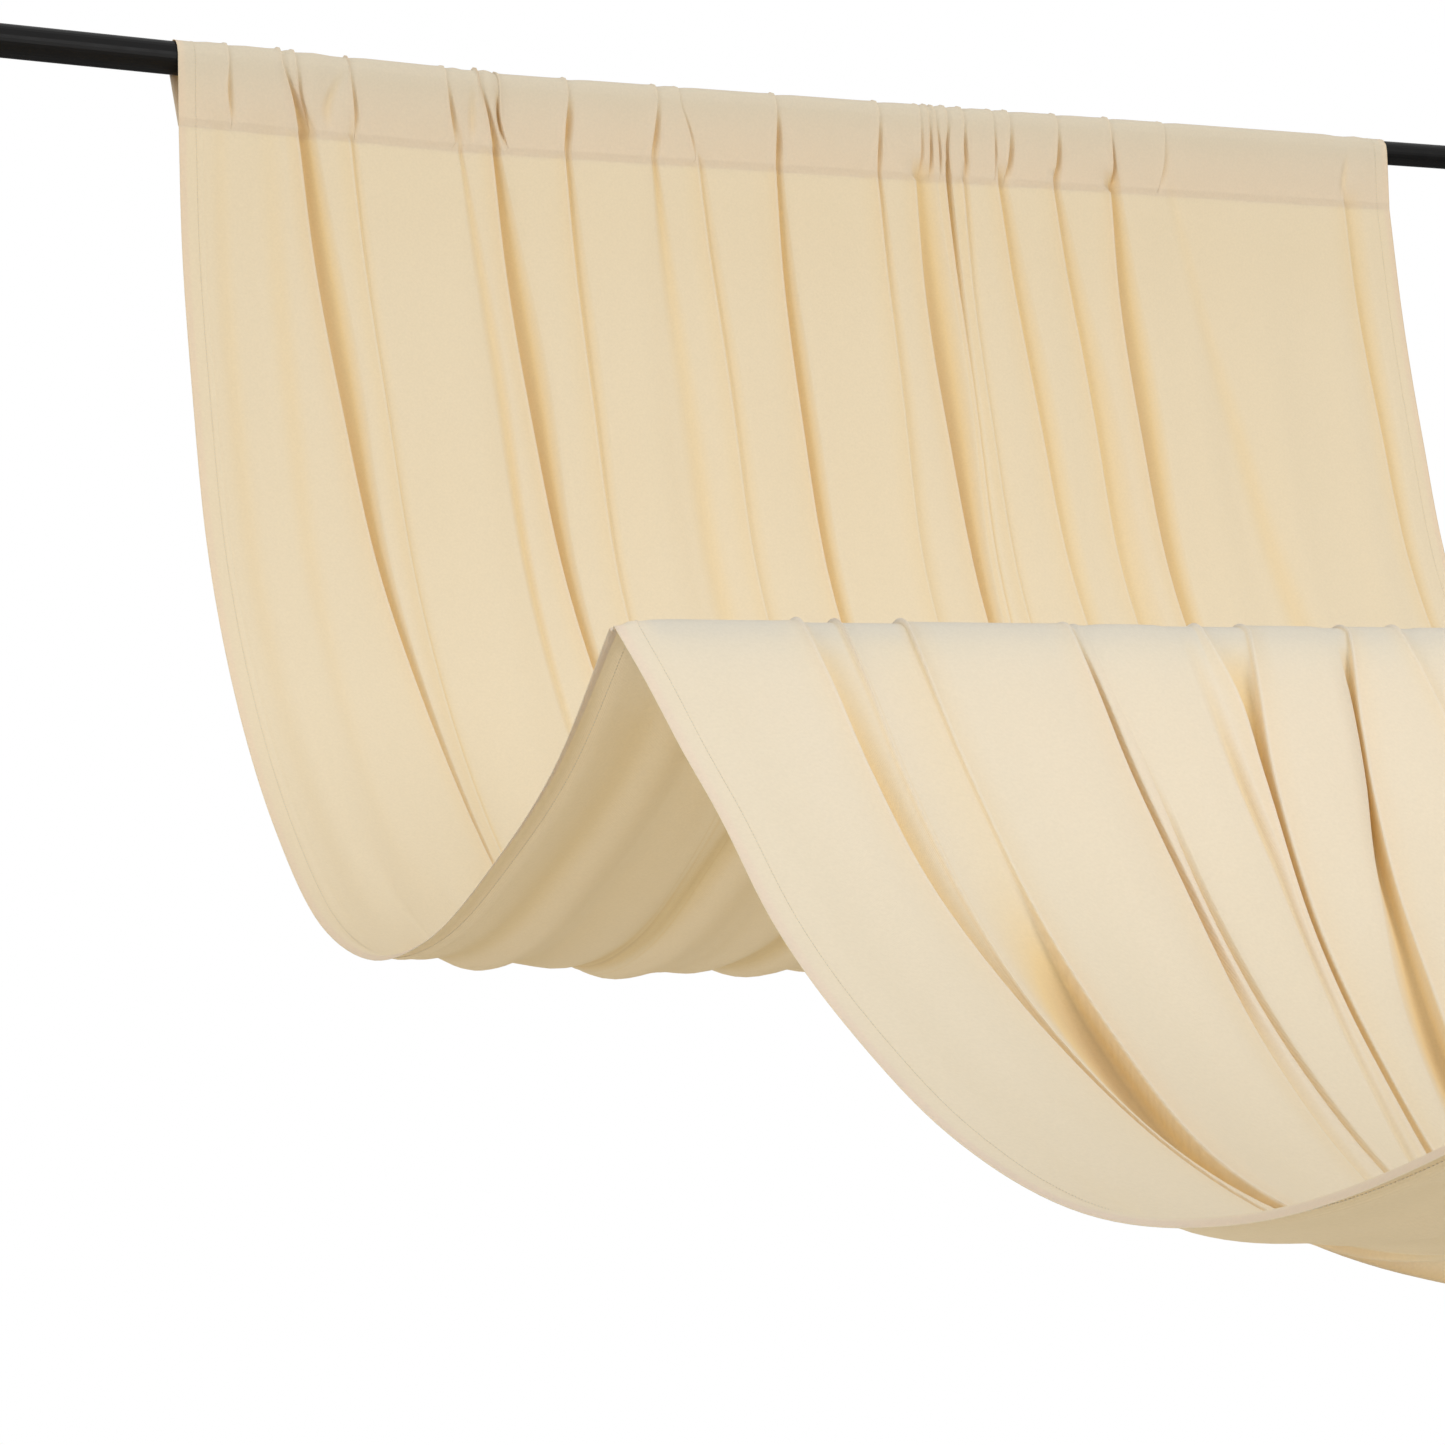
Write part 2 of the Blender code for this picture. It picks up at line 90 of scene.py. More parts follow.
# One row for each fold of a bay: where its left edge lies across the cloth at each of the bay's shares,
# its width and depth at all but the last, how far its rolled edge stands up on a pole, and its section,
# which has its lip on the left unless another is named
Fold = namedtuple("Fold", "places widths depths roll section", defaults=("lip_left",))
BACK_SHARES = (0.0, 0.1, 0.25, 0.42, 1.0)
BACK_FOLDS = (
    Fold((.026, .024, .024, .026, .06), (.026, .03, .034, .034), (.001, .0022, .002, .0006), .0012, "soft"),
    Fold((.07, .074, .08, .088, .1), (.034, .036, .034, .03), (.001, .0025, .0022, .0007), .0012, "soft"),
    Fold((.118, .134, .162, .188, .131), (.019, .03, .015, .006), (.0125, .014, .012, .006), .004),
    Fold((.171, .185, .2, .208, .16), (.008, .012, .012, .012), (.003, .0022, .0016, .0006), .0015),
    Fold((.281, .295, .31, .315, .24), (.007, .021, .016, .014), (.003, .004, .005, .0024), .0022, "soft"),
    Fold((.318, .332, .354, .37, .333), (.01, .028, .016, .008), (.0105, .0135, .0125, .006), .004),
    Fold((.396, .406, .412, .416, .38), (.008, .015, .012, .012), (.006, .005, .003, .0012), .0026),
    Fold((.489, .493, .497, .5, .446), (.01, .03, .04, .04), (.005, .0036, .0036, .002), .002, "soft"),
    Fold((.543, .558, .562, .563, .52), (.008, .014, .018, .018), (.003, .004, .003, .0012), .0018),
    Fold((.63, .636, .641, .645, .556), (.009, .017, .018, .012), (.008, .011, .011, .0042), .003),
    Fold((.748, .757, .752, .748, .69), (.006, .014, .02, .02), (.005, .004, .003, .0012), .0024),
    Fold((.793, .801, .813, .809, .8), (.026, .036, .02, .012), (.007, .013, .013, .0048), .003),
    Fold((.829, .842, .84, .83, .85), (.008, .006, .006, .006), (.013, .003, .001, .0003), .0022),
    Fold((.85, .858, .862, .86, .88), (.008, .01, .012, .012), (.004, .0018, .0015, .0006), .0022),
    Fold((.892, .912, .924, .93, .915), (.014, .023, .025, .022), (.007, .007, .0055, .0024), .0028),
    Fold((.96, .982, .99, .996, .93), (.01, .026, .032, .028), (.006, .007, .0055, .0024), .003),
    Fold((1.031, 1.036, 1.044, 1.052, 1.06), (.015, .034, .028, .016), (.01, .013, .012, .0048), .004),
    Fold((1.098, 1.128, 1.16, 1.172, 1.19), (.02, .034, .044, .044), (.001, .0022, .0034, .002),
         .0016, "soft"),
    Fold((1.336, 1.349, 1.355, 1.35, 1.3), (.026, .026, .018, .012), (.004, .007, .006, .0024), .0012),
)
FRONT_SHARES = (0.0, 0.05, 0.10, 0.18, 0.28, 0.42, 1.0)
FRONT_FOLDS = (
    Fold((.131, .13, .126, .124, .131, .146, .118), (.028, .026, .024, .02, .008, .005),
         (.0034, .0072, .0104, .0112, .0095, .0064), .0026, "lip_and_ridge"),
    Fold((.163, .16, .154, .148, .143, .156, .318), (.046, .044, .045, .045, .042, .014),
         (.0012, .0022, .0026, .0036, .017, .014), .0026, "lip_right"),
    Fold((.338, .332, .325, .319, .303, .286, .396), (.004, .006, .007, .008, .013, .01),
         (.008, .015, .019, .015, .006, .005), .0014),
    Fold((.35, .345, .341, .331, .3205, .315, .489), (.006, .006, .006, .008, .009, .008),
         (0, 0, .001, .008, .013, .008), 0),
    Fold((.42, .412, .404, .394, .368, .332, .543), (.02, .018, .016, .012, .01, .007),
         (.001, .003, .006, .004, .003, .003), 0, "soft"),
    Fold((.446, .445, .431, .408, .384, .348, .63), (.038, .016, .008, .005, .006, .006),
         (.0035, .01, .017, .015, .007, .005), .0014, "slot"),
    Fold((.556, .539, .515, .467, .42, .38, .748), (.014, .005, .004, .017, .026, .018),
         (.005, .012, .017, .013, .015, .009), .0014, "lip_right"),
    Fold((.617, .612, .603, .59, .565, .53, .775), (.014, .016, .018, .018, .016, .014),
         (.001, .002, .003, .003, .003, .003), .002),
    Fold((.69, .67, .65, .623, .595, .57, .8), (.02, .022, .024, .024, .023, .02),
         (.006, .008, .0095, .0095, .009, .008), .003),
    Fold((.8, .79, .78, .764, .748, .74, .85), (.024, .026, .028, .026, .023, .02),
         (.005, .0065, .008, .008, .0075, .0065), .003, "lip_right"),
    Fold((.93, .923, .915, .907, .898, .89, .96), (.022, .026, .03, .028, .025, .02),
         (.006, .0085, .0105, .01, .0095, .008), .0035),
    Fold((1.06, 1.055, 1.05, 1.045, 1.04, 1.04, 1.031), (.02, .024, .028, .027, .025, .02),
         (.006, .0075, .0085, .0085, .008, .0065), .003, "lip_right"),
    Fold((1.19, 1.188, 1.185, 1.182, 1.18, 1.18, 1.11), (.016, .018, .02, .021, .021, .018),
         (.004, .0065, .009, .009, .0086, .007), .0025),
    Fold((1.3, 1.3, 1.3, 1.297, 1.294, 1.29, 1.336), (.016, .019, .022, .022, .021, .018),
         (.004, .006, .008, .008, .0076, .006), .002, "soft"),
)
FAR_POLE_DEPTH = 0.004
LEAST_PANEL = 0.004
LEAST_FOLD = 0.004
CROWN_PER_WIDTH = 0.035
CROWN_MOST = 0.004
CROWN_POWER = 2.0
DEPTH_PER_REACH = 0.35

# Soft swells: wavelength, height, how fast they drift sideways down the cloth, and where they start
Swell = namedtuple("Swell", "long high drift first")
SWELLS = (Swell(.093, .002, 2.6, .4), Swell(.151, .0022, -1.8, 2.1), Swell(.047, .001, 4.2, 1.2))
RISING_SWELLS = (Swell(.061, .0034, 2, .9), Swell(.131, .0026, -2.4, 2.1), Swell(.039, .001, 4.2, 1.2))
SWELL_EDGE = 0.06
RISE_LATE = 0.5

# The front bay bulges down beside its left edge past its middle: place across, half width and depth
BULGE_PLACE = 0.075
BULGE_WIDTH = 0.040
BULGE_DEPTH = 0.012

# The rolled edge of a fold: share of its reach away from the lip, share of its height
ROLL_REACH = 0.0042
ROLL = ((0.15, 1.0), (0.40, 0.75), (0.70, 0.20))
ROLL_AT_LIP = 0.6
ROLL_PANEL_SHARE = 0.4
ROLL_ALONG = 0.3
ROLL_BESIDE_POLE = 0.06

# Shade is painted tan into the cloth's colour in a fold, the more the deeper it is. Close to a lip, and at
# the foot of a rolled edge, shade is painted as at these depths, and where the cloth rises an upward swell,
# seen from below, gets painted shade this many times as deep as its height
LIP_SHADE_REACH = 0.003
LIP_SHADE_DEPTH = 0.006
FOOT_SHADE_REACH = 0.009
FOOT_SHADE_DEPTH = 0.0024
SWELL_SHADE = 1.3

# How far the panels between folds stand off a pole, and the ramp where one isn't rolled
PANEL_LIFT = 0.0012
LIFT_RAMP = 0.014

# One row for each fold of the back pocket, at the top of the pole, halfway to the seam and at the seam:
# where its left edge lies across the cloth, and the gap between its lips; then how deep it shows halfway
# and at the seam, how far its edge stands up, and its section, again with its lip on the left
Slot = namedtuple(
    "Slot",
    "top mid seam wide_top wide_mid wide_seam deep_mid deep_seam roll section",
    defaults=("lip_left",),
)
SLOTS = (
    Slot(.05, .048, .053, .003, .005, .005, .0025, .0015, .0012),
    Slot(.103, .112, .119, .003, .005, .011, .005, .01, .0022),
    Slot(.117, .12, .134, .004, .003, .004, .003, .0005, .0015),
    Slot(.156, .14, .141, .01, .012, .01, .002, .001, .0006, "soft"),
    Slot(.171, .174, .176, .003, .004, .005, .003, .003, .001),
    Slot(.271, .274, .281, .003, .005, .006, .004, .003, .0012),
    Slot(.292, .29, .291, .008, .01, .008, .0018, .001, .0006, "soft"),
    Slot(.305, .313, .319, .003, .004, .008, .005, .011, .002),
    Slot(.322, .323, .332, .003, .003, .004, .004, .001, .0014, "lip_right"),
    Slot(.401, .397, .394, .006, .007, .006, .006, .006, .0016),
    Slot(.499, .494, .489, .004, .006, .008, .0045, .006, .0014),
    Slot(.524, .533, .541, .002, .003, .004, .0015, .002, .0006),
    Slot(.633, .631, .629, .004, .006, .008, .006, .008, .0016),
    Slot(.752, .749, .747, .004, .005, .006, .0045, .005, .0014),
    Slot(.801, .8, .798, .003, .004, .004, .0025, .002, .001),
    Slot(.811, .81, .81, .003, .004, .004, .005, .004, .0014),
    Slot(.819, .821, .822, .003, .003, .003, .0035, .004, .001),
    Slot(.833, .829, .832, .004, .004, .004, .006, .012, .0016),
    Slot(.853, .851, .854, .003, .005, .005, .005, .004, .0014),
    Slot(.889, .889, .888, .003, .003, .003, .003, .0005, .001),
    Slot(.909, .906, .899, .005, .006, .007, .0055, .007, .0014),
    Slot(.968, .965, .96, .004, .006, .007, .006, .006, .0014),
    Slot(1.034, 1.035, 1.034, .003, .004, .009, .0055, .01, .0018),
    Slot(1.103, 1.1, 1.09, .005, .006, .008, .0015, .002, .0008),
    Slot(1.337, 1.33, 1.324, .008, .01, .012, .0015, .003, .0006, "soft"),
)
SLOT_SHARES = (0.0, 0.45, 1.0)

# A fold of the pocket is this much wider under its lips, and this much deeper halfway, than it shows
SLOT_WIDTH_SCALE = 1.4
SLOT_DEPTH_SCALE = 1.5

# Which edges of a fold are rolled, left and right
ROLLED = {
    "lip_left": (1.0, 0.0),
    "lip_right": (0.0, 1.0),
    "lip_and_ridge": (1.0, 0.8),
    "slot": (1.0, 1.0),
    "soft": (0.0, 0.0),
}

# The section of a fold from its left edge to its right one: shares of its width passed, shares of its
# depth reached, and how far the wall leans under the lip as a share of the depth
Section = namedtuple("Section", "passed deep under")
LIP_SECTION = Section(
    (0, .02, .05, .08, .13, .2, .32, .6, .84, .94, 1),
    (0, .06, .28, .62, .93, 1, .9, .53, .2, .06, 0),
    (0, 0, .04, .1, .12, .08, 0, 0, 0, 0, 0),
)
SOFT_SECTION = Section(
    (0, .1, .2, .3, .4, .5, .6, .7, .8, .9, 1),
    (0, .05, .2, .45, .75, .95, 1, .8, .45, .14, 0),
    (0, 0, 0, 0, 0, 0, 0, 0, 0, 0, 0),
)
SLOT_SECTION = Section(
    (0, .04, .1, .2, .38, .5, .62, .8, .9, .96, 1),
    (0, .12, .5, .88, 1, 1, 1, .88, .5, .12, 0),
    (0, 0, .04, .06, .03, 0, -.03, -.06, -.04, 0, 0),
)

# The wall under a lip takes this share of the fold's width, but never more than this
WALL_SHARE = 0.13
WALL_WIDTH = 0.0026

# How far the middle of a bay hangs below its edges, how wide the edge strip is that rises to them, where
# its folds soften, the depth of a warm tint painted all over it for the light coming through it from
# behind, and the depth of the shade painted on its rising part
Bay = namedtuple("Bay", "edge shares folds sag reach softens tan rising_tan")
BACK = Bay(BACK_EDGE, BACK_SHARES, BACK_FOLDS, 0.022, 0.28, 0.47, 0.0032, 0.0)
FRONT = Bay(FRONT_EDGE, FRONT_SHARES, FRONT_FOLDS, 0.085, 0.42, 0.52, 0.0, 0.0028)
SAG_POWER = 1.5

# The folds soften over this share of the bay: to this much more width, as far as there is room, and to
# this share of their depth
SOFTEN_OVER = 0.12
SOFT_WIDTH = 0.040
SOFT_ROOM_SHARE = 0.5
SOFT_DEPTH_SHARE = 0.35

# How far the hems roll under along the cloth, and how far the front left edge swings: share, value. The
# swing fades over the reach, and the roll takes the outer part of the hem.
BACK_HEM_TURN = ((0, .02), (.46, .02), (.54, .1), (.64, .6), (.85, .9), (.94, .7), (1, .1))
FRONT_HEM_TURN = ((0, .1), (.05, .05), (.46, .02), (.52, .3), (.6, .8), (.85, .9), (1, .02))
LEFT_EDGE_DRIFT = ((0, -.007), (.04, -.003), (.1, 0), (.145, .003), (.23, -.001), (.35, 0))
DRIFT_REACH = 0.10
LEAST_TURN = 0.02
CURL_WIDTH = 0.013
CURL_STATIONS = 5

# How finely the cloth is divided
BACK_ROW_COUNT = 92
FRONT_ROW_COUNT = 92
CREST_ROW_COUNT = 10
POCKET_ROW_COUNT = 24
LEG_STATIONS = 25
PANEL_STEP = 0.014
PANEL_LEAST_STATIONS = 3
CURVE_STEP = 0.004
STEP_ROOM = 0.012
HEM_STATIONS = 7
MIDDLE_SHARE = 0.2
JOIN_SHARE = 0.985
CREST_SHARES = (0.9925, 1.0)
FADE_SHARE = 0.05

# The pockets' folds: where round the back one their stations are counted, their share of depth in its
# inner layer, the shares from pole to seam where they take the bay's shape and where they are open, the
# hold of each pole at which a rolled edge stands up in full, and how fast the front one's fade
POCKET_MIDDLE = 0.5
INNER_SHARE = 0.3
SETTLE_SHARE = 0.55
OPEN_SHARE = 0.25
BACK_GRIP = 0.5
FRONT_GRIP = 0.6
FRONT_FADE_POWER = 1.5

# The folded edge: its height over the cloth at stations inward, under it and past it, and the stitches
HEM_TOP = ((2, 0.0001), (1, 0.0005), (0, 0.0004))
HEM_UNDER = 0.0003
HEM_RIM = 0.0004
STITCH_STATION = 5
STITCH_PITCH = 0.0032
STITCH_LENGTH = 0.0024
STITCH_WIDTH = 0.0008
STITCH_HEIGHT = 0.0005
SEAM_PROUD = 0.0001

# The faces of a stitch between its back end, right side, top, left side and front end
BEAD_FACES = ((0, 2, 1), (0, 3, 2), (4, 1, 2), (4, 2, 3), (0, 1, 4, 3))

OUTER_RADIUS = THICK_RADIUS + SEAT_GAP + CLOTH_THICKNESS
THIN_OUTER_RADIUS = THIN_RADIUS + SEAT_GAP + CLOTH_THICKNESS
CREST_RADIUS = THICK_RADIUS + SEAT_GAP * 2 + CLOTH_THICKNESS
JOINT_ON_CLOTH = THICK_END_ON_CLOTH - TELESCOPE_OVERLAP / 2
JOINT_BELOW_END = (POLE_PAST_CLOTH + JOINT_ON_CLOTH) * THICK_SLOPE

# The camera stands to the left of the front, a little below the cloth's middle
LENS = 82.2
SENSOR = 36.0
CAMERA_PLACE = (-0.641, -3.094, -0.609 - JOINT_BELOW_END)
CAMERA_TURN = math.radians(24.6435)
EYE_LEVEL_ROW = 700
MIDDLE_ROW = 722.5
FOCAL_PIXELS = 3300
CAMERA_PITCH = math.atan((EYE_LEVEL_ROW - MIDDLE_ROW) / FOCAL_PIXELS)
CAMERA_REACH = 60

# The light: a pale room, brighter overhead, a large soft lamp far in front and a smaller one on the left
ROOM_HEIGHTS = (-0.5, 0.8)
ROOM_BELOW = 0.12
ROOM_ABOVE = 0.93
MIDDLE = (0.9, -1.0, -0.5)
KEY_PLACE = (3.4, -10.4, 2.6)
KEY_SIZE = 5.6
KEY_POWER = 460
FILL_PLACE = (-6.0, -4.0, -0.8)
FILL_SIZE = 3.0
FILL_POWER = 125

# The cloth's colours, the shade painted into its folds, tan and then brown, how deep the painted shade is
# where it is all tan or all brown, and the share of the light that comes through, less where the painted
# shade is deep
CREAM = (0.89, 0.825, 0.685)
PALE_CREAM = (0.905, 0.845, 0.715)
PAINTED_SHADE_TAN = (0.86, 0.665, 0.37)
PAINTED_SHADE_BROWN = (0.62, 0.42, 0.23)
FULL_SHADE_TAN_DEPTH = 0.010
FULL_SHADE_BROWN_DEPTH = 0.022
DEEP_THROUGH_SHARE = 0.14
LIGHT_THROUGH = (1.0, 0.62, 0.10)
THROUGH_SHARE = 0.28
HEM_CREAM = (0.95, 0.87, 0.68)
HEM_PALE_CREAM = (0.955, 0.88, 0.70)
HEM_THROUGH_SHARE = 0.22
THREAD_CREAM = (0.76, 0.62, 0.42)

# The cloth's finish: mottling, grain and weave, and the pitch of the threads
CLOTH_ROUGHNESS = 0.75
THREAD_ROUGHNESS = 0.7
MOTTLE_SCALE = 9.0
MOTTLE_RANGE = (0.15, 0.85)
GRAIN_SCALE = 420.0
GRAIN_RANGE = (0.94, 1.06)
SHEEN = 0.15
SHEEN_ROUGHNESS = 0.5
WEAVE_STRENGTH = 0.5
WEAVE_HEIGHT = 0.0004
WEAVE_DISTORTION = 0.6
THREAD_PITCH = 0.0009
TWIST_SCALE = 800.0
WAVE_PERIOD = math.pi / 10

# The poles' paint
BLACK = (0.003, 0.003, 0.003)
PALE_BLACK = (0.006, 0.0055, 0.0055)
PAINT_ROUGHNESS = (0.34, 0.52)
PAINT_GLOSS = 0.16
PAINT_SCALE = 60.0
PEEL_SCALE = 900.0
PEEL_STRENGTH = 0.3
PEEL_HEIGHT = 0.0002

FLOOR_GREY = (0.62, 0.62, 0.61)
FLOOR_ROUGHNESS = 0.7
FLOOR_PLACE = (0.9, -1.1, -2.9)
FLOOR_RADIUS = 3.4
FLOOR_SIDES = 96


def smooth_curve(knots, values, places):
    """Values at these places on a smooth curve through the knots."""
    knots, values, places = (np.asarray(a, float) for a in (knots, values, places))
    slopes = np.gradient(values, knots, axis=0)
    spans = np.clip(np.searchsorted(knots, places, side="right") - 1, 0, len(knots) - 2)
    width = knots[spans + 1] - knots[spans]
    q = (places - knots[spans]) / width
    if values.ndim > 1:
        q, width = q[..., None], width[..., None]
    start, end = values[spans], values[spans + 1]
    lean_start, lean_end = slopes[spans] * width, slopes[spans + 1] * width
    return (
        start * (1 + 2 * q) * (1 - q) ** 2
        + lean_start * q * (1 - q) ** 2
        + end * q**2 * (3 - 2 * q)
        + lean_end * q**2 * (q - 1)
    )


def ease(value):
    """0 below 0, 1 above 1 and a smooth rise between."""
    q = np.clip(value, 0, 1)
    return q * q * (3 - 2 * q)


def path_lengths(path):
    """The length of a path passed at each of its points."""
    return np.concatenate([[0], np.cumsum(np.linalg.norm(np.diff(path, axis=0), axis=1))])


def on_circle(centre, radius, angle):
    """Forward and drop of points round a pole, the angle measured from straight up to the front."""
    return centre[0] + radius * np.sin(angle), centre[1] - radius * np.cos(angle)


def front_seam():
    """Forward and drop of the seam of the front pocket, which the cloth pulls back and down."""
    return (
        FRONT_POLE[0] - SEAM_BELOW_AXIS * math.cos(PULL_ANGLE),
        FRONT_POLE[1] + SEAM_BELOW_AXIS * math.sin(PULL_ANGLE),
    )


def bay_outline(bay):
    """The bay's left edge from end to end, and the share of its length passed at each point."""
    if bay is BACK:
        start = (SEAM_FORWARD, SEAM_BELOW_AXIS)
        end = on_circle(MIDDLE_POLE, CREST_RADIUS, RISE_ANGLE)
    else:
        start = on_circle(MIDDLE_POLE, CREST_RADIUS, FALL_ANGLE)
        end = front_seam()
    points = np.array((start, *bay.edge, end))
    passed = path_lengths(points)
    return points, passed / passed[-1], passed[-1]


def edge_rise(across, reach):
    """0 at the cloth's edges, 1 past the strips that rise to them."""
    return ease(np.minimum(across, CLOTH_WIDTH - across) / reach)


def pole_lift(across):
    """How far the back pole's axis is above its lowest point: its two lengths meet at a slight angle."""
    thick = (JOINT_ON_CLOTH - across) * THICK_SLOPE
    thin = (across - JOINT_ON_CLOTH) * THIN_SLOPE
    return np.maximum(thick, thin)


def to_frame(across, forward, drop, lift=0.0):
    """Points of the row frame from places on the cloth."""
    across, forward, drop, lift = np.broadcast_arrays(across, forward, drop, lift)
    return np.column_stack([POLE_PAST_CLOTH + across, -forward, lift - drop - JOINT_BELOW_END])


def depth_near_pole(bay, share):
    """How deep a fold can be before its bottom would meet the middle pole."""
    length = bay_outline(bay)[2]
    from_pole = (1 - share) * length if bay is BACK else share * length
    return DEPTH_PER_REACH * (math.hypot(CREST_RADIUS, from_pole) - CREST_RADIUS)


def along(table, share):
    """A value from a table of shares and values."""
    shares, values = zip(*table)
    return smooth_curve(shares, values, [min(share, shares[-1])])[0]


def fold_sizes(bay, share):
    """Start, width and depth of each fold of a row, and the cloth's right edge there."""
    places = [fold.places for fold in bay.folds]
    widths = [fold.widths + fold.widths[:1] for fold in bay.folds]
    depths = [fold.depths + (FAR_POLE_DEPTH,) for fold in bay.folds]
    place, wide, deep = (
        smooth_curve(bay.shares, np.array(table).T, [share])[0] for table in (places, widths, depths)
    )
    far_edge = CLOTH_WIDTH + (along(RIGHT_EDGE_DRIFT, share) if bay is BACK else 0.0)
    next_place = np.append(place[1:], far_edge - HEM_WIDTH)
    wide = np.clip(wide, LEAST_FOLD, next_place - place - LEAST_PANEL)
    deep = np.clip(deep, 0, depth_near_pole(bay, share))
    return place, wide, deep, far_edge


def section_table(name, softness, wide):
    """A fold's section as arrays, softened by this share; the mirror where its lip is on the right."""
    table = np.array({"soft": SOFT_SECTION, "slot": SLOT_SECTION}.get(name, LIP_SECTION))
    if name.startswith("lip"):
        in_wall = table[0] <= WALL_SHARE
        table[0, in_wall] *= min(1, WALL_WIDTH / (WALL_SHARE * wide))
    passed, deep, under = table + (np.array(SOFT_SECTION) - table) * softness
    if name == "lip_right":
        return 1 - passed[::-1], deep[::-1], under[::-1]
    return passed, deep, -under


def panel_counts(place, wide, far_edge):
    """How many stations each panel between folds has, the same in every row."""
    starts = np.concatenate([[HEM_WIDTH], place + wide])
    ends = np.append(place, far_edge - HEM_WIDTH)
    return np.maximum(np.round((ends - starts) / PANEL_STEP).astype(int), PANEL_LEAST_STATIONS)


def bay_counts(bay):
    """How many stations each panel of a bay has."""
    place, wide, _, far_edge = fold_sizes(bay, MIDDLE_SHARE)
    return panel_counts(place, wide, far_edge)


def slot_sizes(share):
    """Start, width and depth of each fold of the back pocket, the share passed from pole to seam."""
    table = np.array([slot[0:8] for slot in SLOTS])
    starts, widths = table[:, 0:3], table[:, 3:6] * SLOT_WIDTH_SCALE
    depths = np.column_stack([np.zeros(len(SLOTS)), table[:, 6] * SLOT_DEPTH_SCALE, table[:, 7]])
    return (smooth_curve(SLOT_SHARES, t.T, [share])[0] for t in (starts, widths, depths))


def hem_strip(turn):
    """Places across, heights and flat places of the hem from the cloth's edge inward: a soft roll, its
    outer part curled under by this angle."""
    turn = max(turn, LEAST_TURN)
    radius = CURL_WIDTH / turn
    even = np.linspace(0, 1, CURL_STATIONS)
    angle = turn * (1 - even)
    reach = radius * np.sin(angle)
    curl = reach.max() - reach
    rest = np.linspace(0, 1, HEM_STATIONS - CURL_STATIONS + 1)[1:]
    across = np.concatenate([curl, curl[-1] + (HEM_WIDTH - curl[-1]) * rest])
    fall = radius * (1 - math.cos(turn))
    height = np.concatenate([fall - radius * (1 - np.cos(angle)), fall * (1 - ease(rest))])
    flat = np.concatenate([CURL_WIDTH * even, CURL_WIDTH + (HEM_WIDTH - CURL_WIDTH) * rest])
    return across, height, flat


# A row across the cloth: places across, heights over the smooth surface, heights of the rolled edges,
# depths of the shade painted into the cloth's colour, and places across on the flat cloth
Row = namedtuple("Row", "across height roll hollow flat")


def roll_beside(fold, side):
    """How high the rolled edge of a fold is on its left or right side."""
    return fold.roll * ROLLED[fold.section][side]


def panel_columns(start, end, count, crown_fade, left_roll, right_roll):
    """A panel between two folds, crowned and rolled at its edges, as the columns of a row."""
    away, high = np.array(ROLL).T
    room = min(ROLL_REACH, ROLL_PANEL_SHARE * (end - start))
    before = start + room * away if left_roll else np.empty(0)
    after = end - room * away[::-1] if right_roll else np.empty(0)
    first = start + (room if left_roll else 0.0)
    last = end - (room if right_roll else 0.0)
    even = np.arange(1, count + 1) / (count + 1)
    q = (even + (1 - np.cos(np.pi * even)) / 2) / 2
    across = np.concatenate([before, first + (last - first) * q, after])
    roll = np.zeros(len(across))
    roll[: len(before)] = left_roll * high[: len(before)]
    if len(after):
        roll[-len(after) :] = right_roll * high[::-1]
    ramp = min(LIFT_RAMP, (end - start) / 2)
    from_left = 1.0 if left_roll else ease((across - start) / ramp)
    from_right = 1.0 if right_roll else ease((end - across) / ramp)
    roll = roll + PANEL_LIFT * from_left * from_right
    # Painted shade at the foot of a rolled edge
    foot = np.zeros(len(across))
    for rolled, away in ((left_roll, across - start), (right_roll, end - across)):
        if rolled:
            shade = np.exp(-(((away - ROLL_REACH) / FOOT_SHADE_REACH) ** 2)) * (away > ROLL_REACH / 2)
            foot = np.maximum(foot, FOOT_SHADE_DEPTH * shade)
    crown = crown_fade * min(CROWN_MOST, CROWN_PER_WIDTH * (end - start))
    height = crown * (1 - np.abs(2 * (across - start) / (end - start) - 1) ** CROWN_POWER)
    return across, height, roll, foot, across


def section_row(folds, sizes, far_edge, counts, crown_fade=0.0, turn=0.0, softness=0.0):
    """A row across the cloth: hem, panels and folds in turn, and the other hem."""
    place, wide, deep = sizes
    hem_across, hem_height, hem_flat = hem_strip(turn)
    none = np.zeros(HEM_STATIONS)
    parts = [(hem_across, hem_height, none, none, hem_flat)]
    start, left_roll = HEM_WIDTH, 0.0
    for k, end in enumerate(np.append(place, far_edge - HEM_WIDTH)):
        right_roll = roll_beside(folds[k], 0) if k < len(place) else 0.0
        panel = panel_columns(start, end, counts[k], crown_fade, left_roll, right_roll)
        parts.append(panel)
        if k < len(place):
            passed, depth, under = section_table(folds[k].section, softness, wide[k])
            across = place[k] + wide[k] * passed + deep[k] * under
            roll = passed * 0
            left_roll = roll_beside(folds[k], 1)
            # Painted shade close to a rolled lip, and painted shade as deep as the fold
            beside = np.zeros(len(passed))
            if right_roll:
                beside = np.exp(-((wide[k] * passed / LIP_SHADE_REACH) ** 2))
            if left_roll:
                beside = np.maximum(beside, np.exp(-((wide[k] * (1 - passed) / LIP_SHADE_REACH) ** 2)))
            hollow = np.maximum(deep[k] * depth, LIP_SHADE_DEPTH * beside * (passed > 0) * (passed < 1))
            for side, rolled in ((0, right_roll), (-1, left_roll)):
                roll[side] = rolled * ROLL_AT_LIP + (PANEL_LIFT if rolled else 0.0)
            parts.append((across, -deep[k] * depth, roll, hollow, across))
            start = place[k] + wide[k]
    back = slice(None, None, -1)
    parts.append((far_edge - hem_across[back], hem_height[back], none, none, far_edge - hem_flat[back]))
    return Row(*(np.concatenate(column) for column in zip(*parts)))


